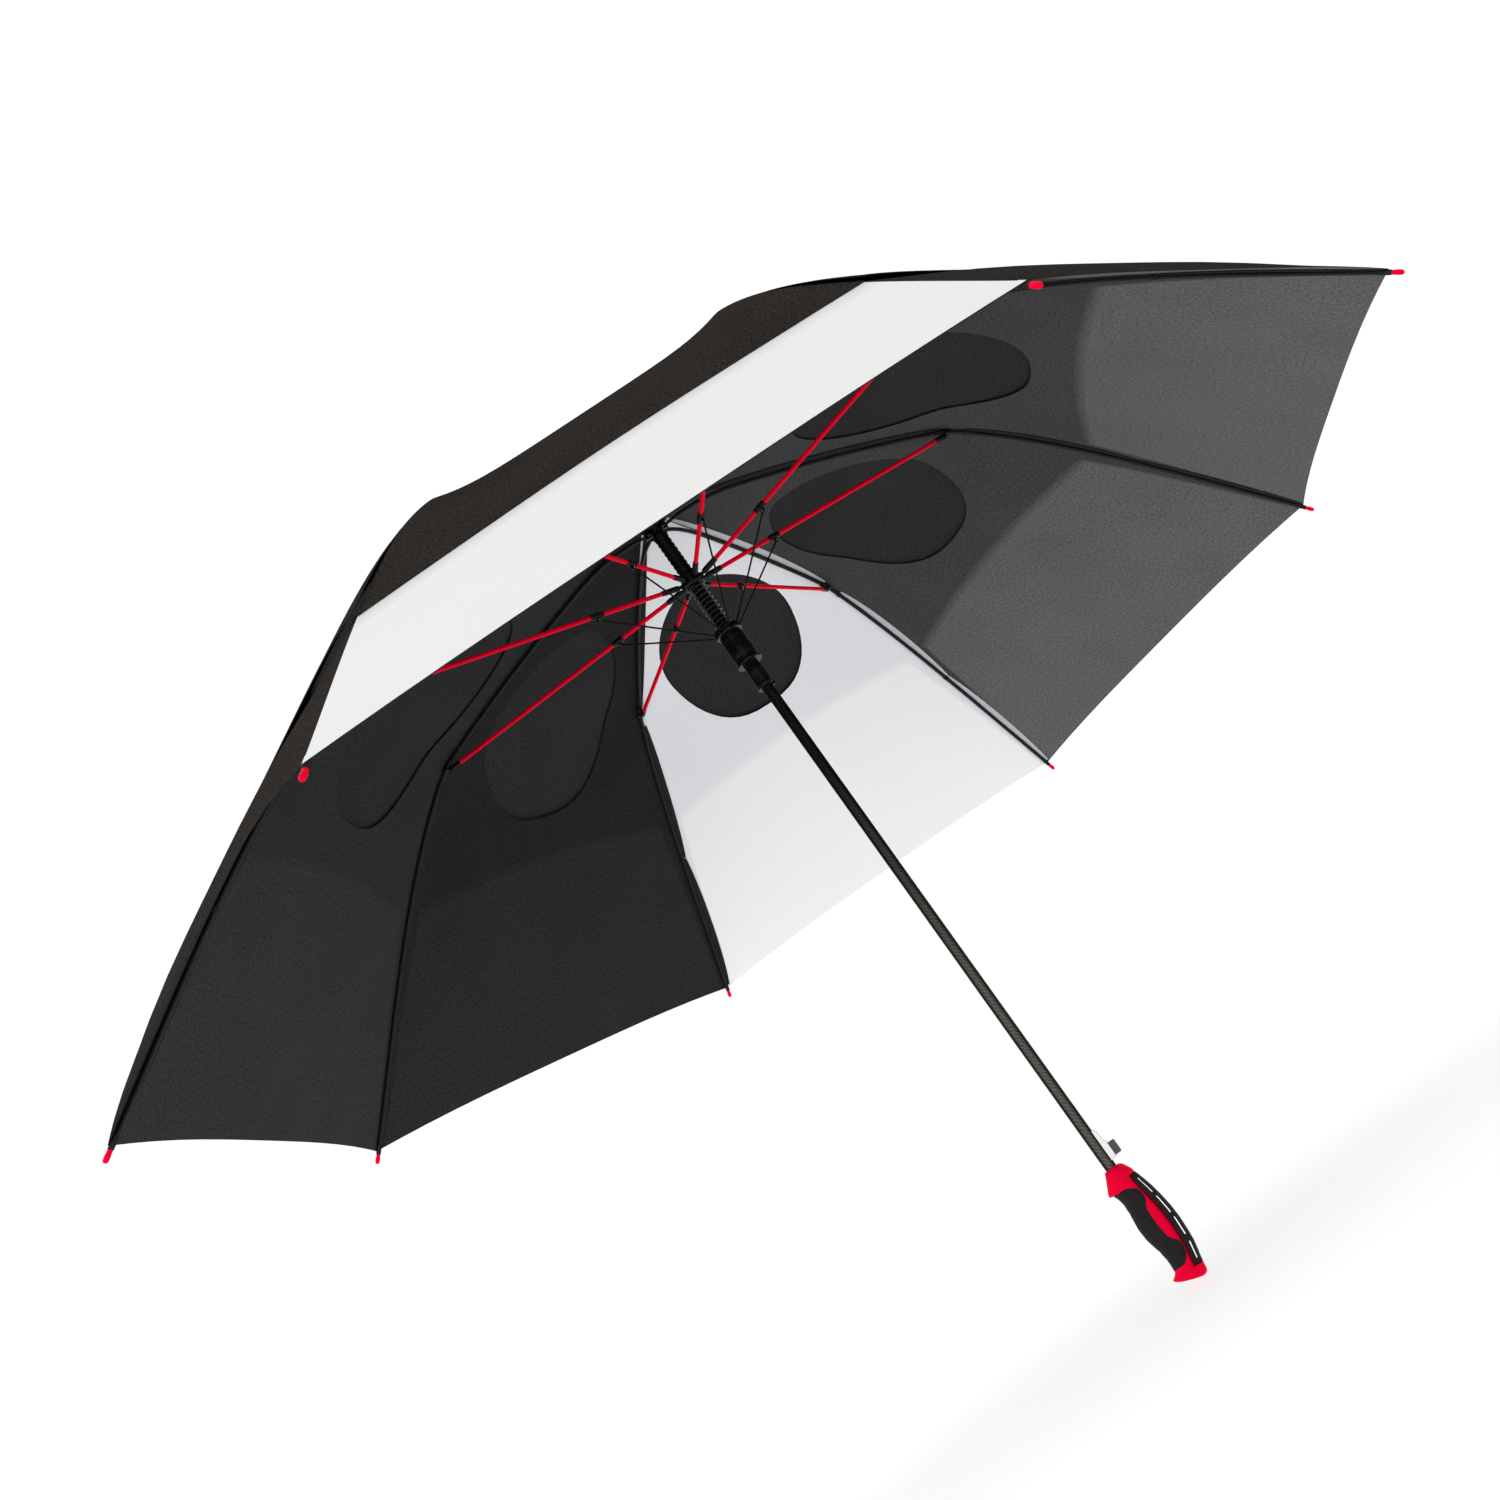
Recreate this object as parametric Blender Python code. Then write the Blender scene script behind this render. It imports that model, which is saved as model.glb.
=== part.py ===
"""Open golf umbrella with a vented double canopy, as separate working pieces.

Metres, +Z up along the shaft. The origin is on the shaft's axis at the flat end of the handle,
and the front of the handle faces -Y. Every moving piece has its origin on its joint's axis.
"""

from math import asin, atan2, cos, hypot, pi, radians, sin, tan

import bmesh
import bpy
from mathutils import Matrix, Vector

MM = 0.001

# ---------------------------------------------------------------- driving dimensions (mm)
RIB_COUNT = 8
FIRST_RIB_AZIMUTH = radians(-15)  # rib 1, seen from above; the others follow anticlockwise
TIP_RADIUS = 750.0  # shaft axis to the end of each rib
TIP_HEIGHT = 656.0  # height of the rib ends over the end of the handle
HINGE_RADIUS = 11.5  # ring on which ribs and stretchers are pinned, at crown and hub alike
CROWN_RISE = 326.9  # rib hinges over the rib ends
HUB_RISE = 251.8  # stretcher hinges over the rib ends
BRACKET_RADIUS = 378.9  # where a stretcher is pinned under its rib
PIN_DROP = 5.5  # a pin's distance below the rod that carries it
FLEX_OFFSET = 5.0  # from the stretcher's pin to the hinge that lets the outer rib straighten
CLAMP_REACH = 101.0  # along a stretcher from the hub to the clamp of its wire
WIRE_RING_RADIUS = 14.0
WIRE_RING_HEIGHT = 840.0
SLOT_FLOOR = 8.7  # radius to which the slots of crown and hub are cut
SHAFT_RADIUS = 6.2
SHAFT_WALL = 1.2
SHAFT_FOOT = 66.0  # the shaft ends this far up inside the handle
RIB_ROD_RADIUS = 2.3
STRETCHER_ROD_RADIUS = 2.4
WIRE_RADIUS = 0.85
HANDLE_TOP = 139.0
FABRIC = 0.8  # thickness of one canopy layer
GAP = 0.3  # between pieces that touch on the real umbrella

CROWN_Z = TIP_HEIGHT + CROWN_RISE
HUB_Z = TIP_HEIGHT + HUB_RISE
BRACKET_Z = (CROWN_Z + HUB_Z) / 2  # equal arms keep the hub on the shaft at every opening
RIB_LIFT = 1.5 + RIB_ROD_RADIUS  # fabric underside over the centre line of a rib

COLOURS = {
    "red_fibreglass": ((0.80, 0.005, 0.03), 0.25, 0.0),
    "red_plastic": ((0.78, 0.005, 0.03), 0.3, 0.0),
    "black_plastic": ((0.012, 0.012, 0.013), 0.4, 0.0),
    "black_rubber": ((0.02, 0.02, 0.02), 0.75, 0.0),
    "black_rib": ((0.02, 0.02, 0.02), 0.35, 0.0),
    "carbon_shaft": ((0.02, 0.018, 0.016), 0.3, 0.1),
    "black_steel": ((0.03, 0.03, 0.03), 0.3, 0.9),
    "pale_plastic": ((0.75, 0.76, 0.74), 0.4, 0.0),
    "dark_grey_plastic": ((0.08, 0.085, 0.09), 0.45, 0.0),
    "white_fabric": ((0.85, 0.85, 0.86), 0.8, 0.0),
    "black_fabric": ((0.035, 0.034, 0.034), 0.85, 0.0),
}


# ---------------------------------------------------------------- scene and mesh helpers
def clear_scene():
    for obj in list(bpy.data.objects):
        bpy.data.objects.remove(obj)


def material(name):
    found = bpy.data.materials.get(name)
    if found:
        return found
    colour, roughness, metallic = COLOURS[name]
    made = bpy.data.materials.new(name)
    made.use_nodes = True
    shader = made.node_tree.nodes["Principled BSDF"]
    shader.inputs["Base Color"].default_value = (*colour, 1)
    shader.inputs["Roughness"].default_value = roughness
    shader.inputs["Metallic"].default_value = metallic
    made.diffuse_color = (*colour, 1)
    return made


def mesh_of(name, points, faces):
    """A closed mesh from points in millimetres, with its faces turned outwards."""
    mesh = bpy.data.meshes.new(name)
    mesh.from_pydata([Vector(p) * MM for p in points], [], faces)
    shape = bmesh.new()
    shape.from_mesh(mesh)
    bmesh.ops.recalc_face_normals(shape, faces=shape.faces)
    shape.to_mesh(mesh)
    shape.free()
    return mesh


def joined_rings(name, rings):
    """A solid through a row of rings with the same number of points, capped at both ends."""
    size = len(rings[0])
    points = [p for ring in rings for p in ring]
    faces = [tuple(range(size)), tuple(range(len(points) - size, len(points)))]
    for i in range(len(rings) - 1):
        for j in range(size):
            after = (j + 1) % size
            faces.append((i * size + j, i * size + after, (i + 1) * size + after, (i + 1) * size + j))
    return mesh_of(name, points, faces)


def revolved(name, profiles, angles):
    """A closed outline of (radius, z) turned round Z; profiles holds one outline per angle."""
    size = len(profiles[0])
    points = [
        (r * cos(a), r * sin(a), z) for outline, a in zip(profiles, angles) for r, z in outline
    ]
    faces = []
    for i in range(len(angles)):
        on = (i + 1) % len(angles)
        for j in range(size):
            after = (j + 1) % size
            faces.append((i * size + j, on * size + j, on * size + after, i * size + after))
    return mesh_of(name, points, faces)


def turned(name, outline, sides=32):
    return revolved(name, [outline] * sides, [2 * pi * i / sides for i in range(sides)])


def notched(name, plain, cut, half_angle, steps=1):
    """A turned piece whose outline changes from plain to cut at each rib's azimuth."""
    profiles, angles = [], []
    pitch = 2 * pi / RIB_COUNT
    edge = radians(0.8)
    for k in range(RIB_COUNT):
        centre = FIRST_RIB_AZIMUTH + k * pitch
        for step in range(steps + 1):
            angles.append(centre - half_angle + edge + (2 * half_angle - 2 * edge) * step / steps)
            profiles.append(cut)
        for step in range(steps + 1):
            angles.append(centre + half_angle + (pitch - 2 * half_angle) * step / steps)
            profiles.append(plain)
    return revolved(name, profiles, angles)


def rod(name, path, sides=6):
    """A rod in the XZ plane through (x, z, half height, half width) stations."""
    rings = []
    for i, (x, z, high, wide) in enumerate(path):
        before = path[max(i - 1, 0)]
        after = path[min(i + 1, len(path) - 1)]
        along = Vector((after[0] - before[0], 0, after[1] - before[1])).normalized()
        up = Vector((-along.z, 0, along.x))
        centre = Vector((x, 0, z))
        ring = []
        for j in range(sides):
            turn = 2 * pi * (j + 0.5) / sides
            ring.append(centre + up * (high * sin(turn)) + Vector((0, wide * cos(turn), 0)))
        rings.append(ring)
    return joined_rings(name, rings)


def box(name, low, high):
    corners = [
        (x, y, z) for z in (low[2], high[2]) for y in (low[1], high[1]) for x in (low[0], high[0])
    ]
    faces = [(0, 1, 3, 2), (4, 6, 7, 5), (0, 4, 5, 1), (2, 3, 7, 6), (0, 2, 6, 4), (1, 5, 7, 3)]
    return mesh_of(name, corners, faces)


def disc_along_y(name, x, z, radius, half_width, sides=10):
    """A short cylinder whose axis lies along Y, for an eye or a pin."""
    rings = []
    for y in (-half_width, half_width):
        turns = [2 * pi * (i + 0.5) / sides for i in range(sides)]
        rings.append([(x + radius * cos(t), y, z + radius * sin(t)) for t in turns])
    return joined_rings(name, rings)


def combined(name, base, added=(), removed=()):
    """The base mesh with others joined to it and then others cut from it."""
    holder = bpy.data.objects.new(name + "_base", base)
    bpy.context.collection.objects.link(holder)
    helpers = []
    for operation, meshes in (("UNION", added), ("DIFFERENCE", removed)):
        for mesh in meshes:
            helper = bpy.data.objects.new(mesh.name + "_tool", mesh)
            helper.hide_render = True
            helper.display_type = "WIRE"
            bpy.context.collection.objects.link(helper)
            cut = holder.modifiers.new(operation.title(), "BOOLEAN")
            cut.operation = operation
            cut.solver = "EXACT"
            cut.object = helper
            helpers.append(helper)
    bpy.context.view_layer.update()
    graph = bpy.context.evaluated_depsgraph_get()
    made = bpy.data.meshes.new_from_object(holder.evaluated_get(graph))
    made.name = name
    for obj in [holder, *helpers]:
        bpy.data.objects.remove(obj)
    return made


def moved(mesh, x, y, z):
    """The mesh with its own zero put at (x, y, z), so that an object there shows it in place."""
    mesh.transform(Matrix.Translation((-x * MM, -y * MM, -z * MM)))
    return mesh


def place(name, mesh, material_name, at=(0, 0, 0), turn=0.0, smooth=40):
    if material_name not in [m.name for m in mesh.materials if m]:
        mesh.materials.clear()
        mesh.materials.append(material(material_name))
    mesh.shade_smooth()
    mesh.set_sharp_from_angle(angle=radians(smooth))
    obj = bpy.data.objects.new(name, mesh)
    obj.location = Vector(at) * MM
    obj.rotation_euler = (0, 0, turn)
    bpy.context.collection.objects.link(obj)
    return obj


def azimuth(k):
    """Azimuth of rib k, counted from 1."""
    return FIRST_RIB_AZIMUTH + (k - 1) * 2 * pi / RIB_COUNT


def around_shaft(name, mesh, material_name, radius, height):
    """One copy of a piece at each rib, with its origin at the given radius and height."""
    moved(mesh, radius, 0, height)
    for k in range(1, RIB_COUNT + 1):
        a = azimuth(k)
        place(f"{name}_{k}", mesh, material_name, (radius * cos(a), radius * sin(a), height), a)


# ---------------------------------------------------------------- canopy line
def canopy_height(radius):
    """Underside of the lower canopy along a rib, in mm over the end of the handle."""
    x = radius / TIP_RADIUS
    bend = BRACKET_RADIUS / TIP_RADIUS
    if x <= bend:
        return TIP_HEIGHT + TIP_RADIUS * (0.4658 - 0.05 * x - 0.1657 * x * x)
    over = x - bend
    return TIP_HEIGHT + TIP_RADIUS * (0.3983 - 0.5 * over - 1.016 * over**2 + 0.824 * over**3)


def rib_height(radius):
    """Centre line of a rib; near the crown it dips from the canopy to its hinge."""
    under = canopy_height(radius) - RIB_LIFT
    dip_end = 110.0
    if radius >= dip_end:
        return under
    share = (dip_end - radius) / (dip_end - HINGE_RADIUS)
    natural = canopy_height(HINGE_RADIUS) - RIB_LIFT
    return under - (natural - CROWN_Z) * share**2


# ---------------------------------------------------------------- shaft, crown and hubs
def shaft_tube():
    inner = SHAFT_RADIUS - SHAFT_WALL
    top = CROWN_Z + 18.1
    outline = [(SHAFT_RADIUS, SHAFT_FOOT), (SHAFT_RADIUS, top), (inner, top), (inner, SHAFT_FOOT)]
    place("shaft_tube", turned("shaft_tube", outline, 24), "carbon_shaft")


def ferrule():
    inner = SHAFT_RADIUS - SHAFT_WALL - GAP
    seat = 1010.0
    outline = [
        (0.6, 962), (inner, 962), (inner, seat), (21, seat), (21, seat + 1.6), (17, seat + 4.5),
        (8.5, seat + 7), (6.2, seat + 12), (5.2, seat + 50), (3.4, seat + 54), (0.6, seat + 55),
    ]
    place("ferrule", turned("ferrule", outline, 20), "black_plastic")


def crown_notch():
    bore = SHAFT_RADIUS + GAP
    low, ceiling, top = CROWN_Z - 6, CROWN_Z + 4.8, 1002.5
    cap = [(14, ceiling + 3), (16, top - 2), (16, top), (bore, top)]
    plain = [(bore, low), (14, low), (14, ceiling), *cap]
    cut = [(bore, low), (SLOT_FLOOR, low), (SLOT_FLOOR, ceiling), *cap]
    place("crown_notch", notched("crown_notch", plain, cut, radians(12.5)), "black_plastic")


def stop_sleeve():
    bore = SHAFT_RADIUS + GAP
    low, high, ridges = HUB_Z + 11, CROWN_Z - 9, 5
    outline = [(bore, high), (bore, low), (8.4, low), (8.4, low + 2.5)]
    pitch = (high - low - 5) / ridges
    for i in range(ridges):
        start = low + 2.5 + i * pitch
        outline += [(7.5, start + 0.8), (7.5, start + pitch - 1.4), (8.1, start + pitch - 0.7)]
    outline += [(8.4, high - 2.5), (8.4, high)]
    place("stop_sleeve", turned("stop_sleeve", outline, 16), "black_plastic")


def upper_hub():
    """The runner that carries the stretchers; its slots are open outwards and upwards."""
    bore = SHAFT_RADIUS + 0.5
    low, floor, teeth, top = HUB_Z - 5.5, HUB_Z - 3.0, HUB_Z + 4.5, HUB_Z + 9
    neck = [(8.6, teeth + 0.6), (8.6, top), (bore, top)]
    plain = [(bore, low), (12.5, low), (14, floor), (14, teeth), *neck]
    cut = [(bore, low), (12.5, low), (13.2, floor), (SLOT_FLOOR, floor + 0.2), *neck]
    mesh = notched("upper_hub", plain, cut, radians(13.5))
    a = azimuth(1)
    hinge = (HINGE_RADIUS * cos(a), HINGE_RADIUS * sin(a), HUB_Z)
    place("upper_hub", moved(mesh, *hinge), "black_plastic", hinge)


def lower_hub():
    """Wire ring with a notch for each wire, a body, and a collar that the release catch enters."""
    bore = SHAFT_RADIUS + 0.5
    ring = WIRE_RING_HEIGHT
    body_end, collar_end = ring - 44.5, ring - 76.6

    def outline(outer):
        return [
            (bore, collar_end), (10.4, collar_end), (10.4, collar_end + 3.5), (8.9, collar_end + 4.5),
            (8.9, body_end), (14.8, body_end), (14.8, body_end + 3), (13.2, body_end + 4.5),
            (13.2, ring - 12), (outer, ring - 4), (outer, ring + 3), (bore, ring + 3),
        ]

    mesh = notched("lower_hub_solid", outline(15.6), outline(12.0), radians(6.5))
    slot = box("catch_slot", (-4.7, 5.0, collar_end - 5), (4.7, 20, body_end - 0.5))
    mesh = combined("lower_hub", mesh, removed=[slot])
    place("lower_hub", moved(mesh, 0, 0, ring), "black_plastic", (0, 0, ring))


def spring():
    """Ten turns between the two hubs, with its ends pressed flat against them."""
    wire, radius, turns, sides = 0.55, 8.7, 10, 5
    low, high = WIRE_RING_HEIGHT + 3 + GAP, HUB_Z - 5.5 - GAP
    steps = turns * 12
    rings = []
    for i in range(steps + 1):
        a = 2 * pi * turns * i / steps
        rise = min(max((i / steps - 0.05) / 0.9, 0), 1)
        z = low + wire + (high - low - 2 * wire) * rise
        out = Vector((cos(a), sin(a), 0))
        centre = out * radius + Vector((0, 0, z))
        ring = []
        for j in range(sides):
            turn = 2 * pi * j / sides
            ring.append(centre + out * (wire * cos(turn)) + Vector((0, 0, wire * sin(turn))))
        rings.append(ring)
    place("hub_spring", joined_rings("hub_spring", rings), "black_steel")


# ---------------------------------------------------------------- ribs, stretchers and wires
def flex_hinge():
    """Where the outer rib turns as the rib springs straight."""
    return BRACKET_RADIUS + FLEX_OFFSET, rib_height(BRACKET_RADIUS) - 0.42 * FLEX_OFFSET


def inner_ribs():
    """Crown to bracket. The bracket carries the stretcher's tab and a fork for the outer rib."""
    flat = (1.9, 1.4)  # the rib is pressed flat where it enters the crown
    round_rod = (RIB_ROD_RADIUS, RIB_ROD_RADIUS)
    stations = [(HINGE_RADIUS - 1.2, CROWN_Z - 0.2, *flat), (HINGE_RADIUS + 4, rib_height(15.5), *flat)]
    stations += [(x, rib_height(x), *flat) for x in (20.0, 27.0)]
    stations += [(x, rib_height(x), *round_rod) for x in (31, 50, 80, 120, 180, 250, 310, 366)]
    stations.append((BRACKET_RADIUS - 3, rib_height(BRACKET_RADIUS - 3), *round_rod))
    base = rod("rib_rod", stations)
    eye = disc_along_y("rib_eye", HINGE_RADIUS, CROWN_Z, 2.1, 1.4)
    bracket_z = rib_height(BRACKET_RADIUS)
    fork_x, fork_z = flex_hinge()
    shell = rod("bracket", [
        (BRACKET_RADIUS - 11, rib_height(BRACKET_RADIUS - 11), 2.7, 3.9),
        (BRACKET_RADIUS - 2, rib_height(BRACKET_RADIUS - 2), 2.7, 3.9),
        (fork_x + 1.6, fork_z - 0.5, 2.1, 3.9),
    ])
    tab_foot = (BRACKET_RADIUS - 2.1, -0.8, BRACKET_Z - 2.2)
    tab = box("tab", tab_foot, (BRACKET_RADIUS + 2.1, 0.8, bracket_z))
    fork = box("fork", (fork_x - 2.5, -2.7, fork_z - 9), (fork_x + 9, 2.7, fork_z + 9))
    hole = disc_along_y("tab_hole", BRACKET_RADIUS, BRACKET_Z, 1.25, 3)
    mesh = combined("rib_inner", base, [eye, shell, tab], [fork, hole])
    around_shaft("rib_inner", mesh, "black_rib", HINGE_RADIUS, CROWN_Z)


def outer_ribs():
    """Bracket to rib end, with the tip cap pressed on."""
    start, hinge_z = flex_hinge()
    stations = [(start, hinge_z, 1.8, 2.2)]
    for x in (395, 425, 475, 530, 590, 660, 738):
        stations.append((x, rib_height(x), RIB_ROD_RADIUS, RIB_ROD_RADIUS))
    drop = (rib_height(738) - rib_height(748)) / 10
    caps = ((748, RIB_ROD_RADIUS), (748.2, 3.0), (752, 3.1), (755.5, 2.8), (757.5, 1.6))
    for along, radius in caps:
        stations.append((along, rib_height(738) - drop * (along - 738), radius, radius))
    mesh = combined(
        "rib_outer", rod("outer_rod", stations), [disc_along_y("outer_eye", start, hinge_z, 2.1, 2.3)]
    )
    around_shaft("rib_outer", mesh, "black_rib", start, hinge_z)


def stretcher_point(along, below=0.0):
    """A point on the line from hub hinge to bracket pin, and below it."""
    reach = BRACKET_RADIUS - HINGE_RADIUS
    rise = BRACKET_Z - HUB_Z
    arm = hypot(reach, rise)
    return (
        HINGE_RADIUS + along * reach / arm + below * rise / arm,
        HUB_Z + along * rise / arm - below * reach / arm,
    )


def stretchers():
    """Rod with the hub socket, the wire clamp and the end that straddles the rib's tab."""
    arm = hypot(BRACKET_RADIUS - HINGE_RADIUS, BRACKET_Z - HUB_Z)
    thick = STRETCHER_ROD_RADIUS
    socket = [(0.8, 2.1, 1.5), (5.5, 2.1, 1.5), (7, 3.2, 3.2), (26, 3.0, 3.0), (26.3, thick, thick)]
    clamp = [
        (CLAMP_REACH - 7.5, thick, thick), (CLAMP_REACH - 7.2, 3.6, 3.6),
        (CLAMP_REACH + 7.2, 3.6, 3.6), (CLAMP_REACH + 7.5, thick, thick),
    ]
    fork = [(arm - 18, thick, thick), (arm - 17.7, 3.1, 3.6), (arm - 7, 2.6, 3.4)]
    shape = socket + clamp + fork
    stations = [(*stretcher_point(along), high, wide) for along, high, wide in shape]
    hub_eye = disc_along_y("hub_eye", *stretcher_point(0), 2.1, 1.5)
    pin_x, pin_z = stretcher_point(CLAMP_REACH, PIN_DROP)
    ear = box("clamp_ear", (pin_x - 2.2, -0.7, pin_z - 2.2), (pin_x + 2.2, 0.7, pin_z + PIN_DROP))
    cheeks = []
    for side in (-1, 1):
        low, high = sorted((side * 1.15, side * 3.3))
        root_x, root_z = stretcher_point(arm - 11)
        cheek = rod("cheek", [(root_x, root_z, 2.4, 1.07), (BRACKET_RADIUS, BRACKET_Z, 2.4, 1.07)], 4)
        cheek.transform(Matrix.Translation((0, (low + high) / 2 * MM, 0)))
        end = disc_along_y("cheek_end", BRACKET_RADIUS, BRACKET_Z, 2.4, 1.07)
        end.transform(Matrix.Translation((0, (low + high) / 2 * MM, 0)))
        cheeks += [cheek, end]
    pin = disc_along_y("bracket_pin", BRACKET_RADIUS, BRACKET_Z, 0.95, 2.5)
    mesh = combined("stretcher", rod("stretcher_rod", stations), [hub_eye, ear, *cheeks, pin])
    around_shaft("stretcher", mesh, "red_fibreglass", BRACKET_RADIUS, BRACKET_Z)


def wires():
    """From the clamp's ear on a stretcher down to the ring of the lower hub."""
    pin_x, pin_z = stretcher_point(CLAMP_REACH, PIN_DROP)
    run = Vector((WIRE_RING_RADIUS - pin_x, 0, WIRE_RING_HEIGHT - pin_z))
    along = run.normalized()
    start = Vector((pin_x, 0, pin_z)) + along * 3.2
    end = Vector((WIRE_RING_RADIUS, 0, WIRE_RING_HEIGHT))
    stations = [(p.x, p.z, WIRE_RADIUS, WIRE_RADIUS) for p in (start, end)]
    mesh = rod("wire", stations, 6)
    around_shaft("wire", mesh, "black_steel", pin_x, pin_z)


# ---------------------------------------------------------------- handle
# how far the handle reaches from the shaft's axis, as (height, reach)
FRONT = (
    (0, 11.5), (3, 14.5), (6, 15.2), (10, 13.0), (17, 9.2), (24, 8.0), (34, 7.8), (46, 9.8), (61, 13.2),
    (74, 13.8), (88, 12.1), (102, 11.1), (110, 12.6), (115, 15.0), (116, 19.0), (119, 18.6),
    (128, 13.8), (136, 9.8), (HANDLE_TOP, 8.5),
)
BACK = (
    (0, 15.0), (3, 18.8), (6, 20.0), (10, 20.6), (17, 22.0), (24, 23.8), (34, 26.0), (46, 27.2),
    (61, 27.9), (74, 27.4), (88, 25.9), (102, 23.4), (110, 21.4), (116, 19.8), (123, 17.8), (128, 16.6),
    (136, 12.4), (HANDLE_TOP, 8.8),
)
WIDTH = (
    (0, 11), (3, 13.5), (6, 14.3), (10, 13.6), (17, 12.2), (46, 12.6), (88, 12.2), (110, 12.8),
    (116, 13.8), (119, 14.2), (128, 13.6), (136, 12.0), (HANDLE_TOP, 9.6),
)
STRAP_INNER = (
    (13, 13.0), (24, 14.8), (34, 16.6), (46, 17.8), (61, 18.6), (74, 18.2), (88, 16.9), (102, 14.6),
    (110, 13.2), (116, 12.3), (123, 11.8),
)
# how far back the rubber reaches round the side of the handle
RUBBER_EDGE = (
    (21, 4.5), (24, 9.5), (28, 12.4), (34, 13.8), (42, 14.2), (46, 12.0), (51, 7.6), (61, 6.4), (74, 5.8),
    (88, 6.6), (93, 10.4), (98, 11.6), (105, 11.2), (110, 8.8), (115, 4.0),
)
GRIP_LOW, GRIP_HIGH = 21.0, 114.5  # the rubber lies between these heights
STRAP_LOW, STRAP_HIGH = 13.0, 123.0
GRIP_DEPTH = 3.0
# the flared end is cut off at a slant, lowest at the back
SLANT_SLOPE, SLANT_TOP = 0.364, 20.0
SLANT_FOOT = BACK[0][1] * sin(radians(78.75))  # where the end reaches lowest


def between(table, z):
    """Straight interpolation in a table of (z, value)."""
    for (z0, v0), (z1, v1) in zip(table, table[1:]):
        if z <= z1:
            return v0 + (v1 - v0) * max(z - z0, 0) / (z1 - z0)
    return table[-1][1]


def handle_ring(z, front, back, width, sides=16):
    """An oval at height z that reaches front forwards, back backwards and width sideways."""
    ring = []
    slope = SLANT_SLOPE * max(1 - z / SLANT_TOP, 0)
    for i in range(sides):
        a = 2 * pi * (i + 0.5) / sides
        y = (front if sin(a) < 0 else back) * sin(a)
        ring.append((width * cos(a), y, z + slope * (SLANT_FOOT - y)))
    return ring


def handle_body():
    """Collar, core and flared butt, cut back where the rubber and the strap sit."""
    rings = []
    levels = [0, 3, 6, 10, STRAP_LOW - 1.4, STRAP_LOW - 1.3, 17, GRIP_LOW - 0.3, GRIP_LOW - 0.2]
    levels += [24, 34, 46, 61, 74, 88, 102, 110, GRIP_HIGH + 0.2, GRIP_HIGH + 0.3, 116, 119]
    levels += [STRAP_HIGH + 0.5, STRAP_HIGH + 0.6, 128, 136, HANDLE_TOP]
    for z in levels:
        rubber = GRIP_LOW - 0.25 < z < GRIP_HIGH + 0.25
        front = between(FRONT, z) - (GRIP_DEPTH + GAP if rubber else 0)
        back = between(BACK, z)
        if STRAP_LOW - 1.35 < z < STRAP_HIGH + 0.55:
            back = between(STRAP_INNER, z) - GAP
        rings.append(handle_ring(z, front, back, between(WIDTH, z) - (1.2 if rubber else 0)))
    bore = SHAFT_RADIUS + GAP
    turns = [2 * pi * i / 24 for i in range(24)]
    cutter = joined_rings("handle_bore", [
        [(bore * cos(t), bore * sin(t), z) for t in turns] for z in (SHAFT_FOOT - 1, HANDLE_TOP + 11)
    ])
    mesh = combined("handle_body", joined_rings("handle_solid", rings), removed=[cutter])
    place("handle_body", mesh, "red_plastic", smooth=50)


def front_grip():
    """Rubber round the front and the sides of the grip; its edge waves along the side."""
    rings = []
    for z in (GRIP_LOW, 24, 29, 34, 38, 42, 46, 51, 56, 61, 68, 74, 81, 88, 93, 98, 102, 106, 110, GRIP_HIGH):
        front = between(FRONT, z)
        width = between(WIDTH, z)
        behind = between(STRAP_INNER, z) + 0.4
        past = asin(between(RUBBER_EDGE, z) / behind)
        turns = [pi - past + (pi + 2 * past) * i / 16 for i in range(17)]
        outer = [((width + 0.2) * cos(a), (front if sin(a) < 0 else behind + 0.6) * sin(a), z) for a in turns]
        inner = []
        for a in reversed(turns):
            depth = front - GRIP_DEPTH if sin(a) < 0 else behind
            inner.append(((width - 0.85) * cos(a), depth * sin(a), z))
        rings.append(outer + inner)
    place("front_grip", joined_rings("front_grip", rings), "black_rubber", smooth=50)


def back_strap():
    """Strap down the back of the grip, with four slots through it from side to side."""
    rings = []
    for z in (STRAP_LOW, 24, 34, 46, 61, 74, 88, 102, 110, 116, STRAP_HIGH):
        back, inner = between(BACK, z), between(STRAP_INNER, z) + GAP
        half = 8.0 - max(z - 110, 0) * 0.15
        shoulder = max(back - 3, inner + 1.0)
        rings.append([(half, inner, z), (half, shoulder, z), (half - 3, back - 0.4, z), (0, back, z),
                      (3 - half, back - 0.4, z), (-half, shoulder, z), (-half, inner, z)])
    slots = []
    for low, high in ((17.5, 36), (43, 64), (69, 91), (96, 116)):
        ring_pair = []
        for x in (-20, 20):
            inner, outer = [], []
            for z, share in ((low, 0.42), (low + 3, 0.36), (high - 3, 0.36), (high, 0.42)):
                edge = share * (between(BACK, z) - between(STRAP_INNER, z))
                inner.append((x, between(STRAP_INNER, z) + edge, z))
                outer.insert(0, (x, between(BACK, z) - edge, z))
            ring_pair.append(inner + outer)
        slots.append(joined_rings("strap_slot", ring_pair))
    mesh = combined("back_strap", joined_rings("strap_solid", rings), removed=slots)
    place("back_strap", mesh, "black_rubber", smooth=50)


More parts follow.
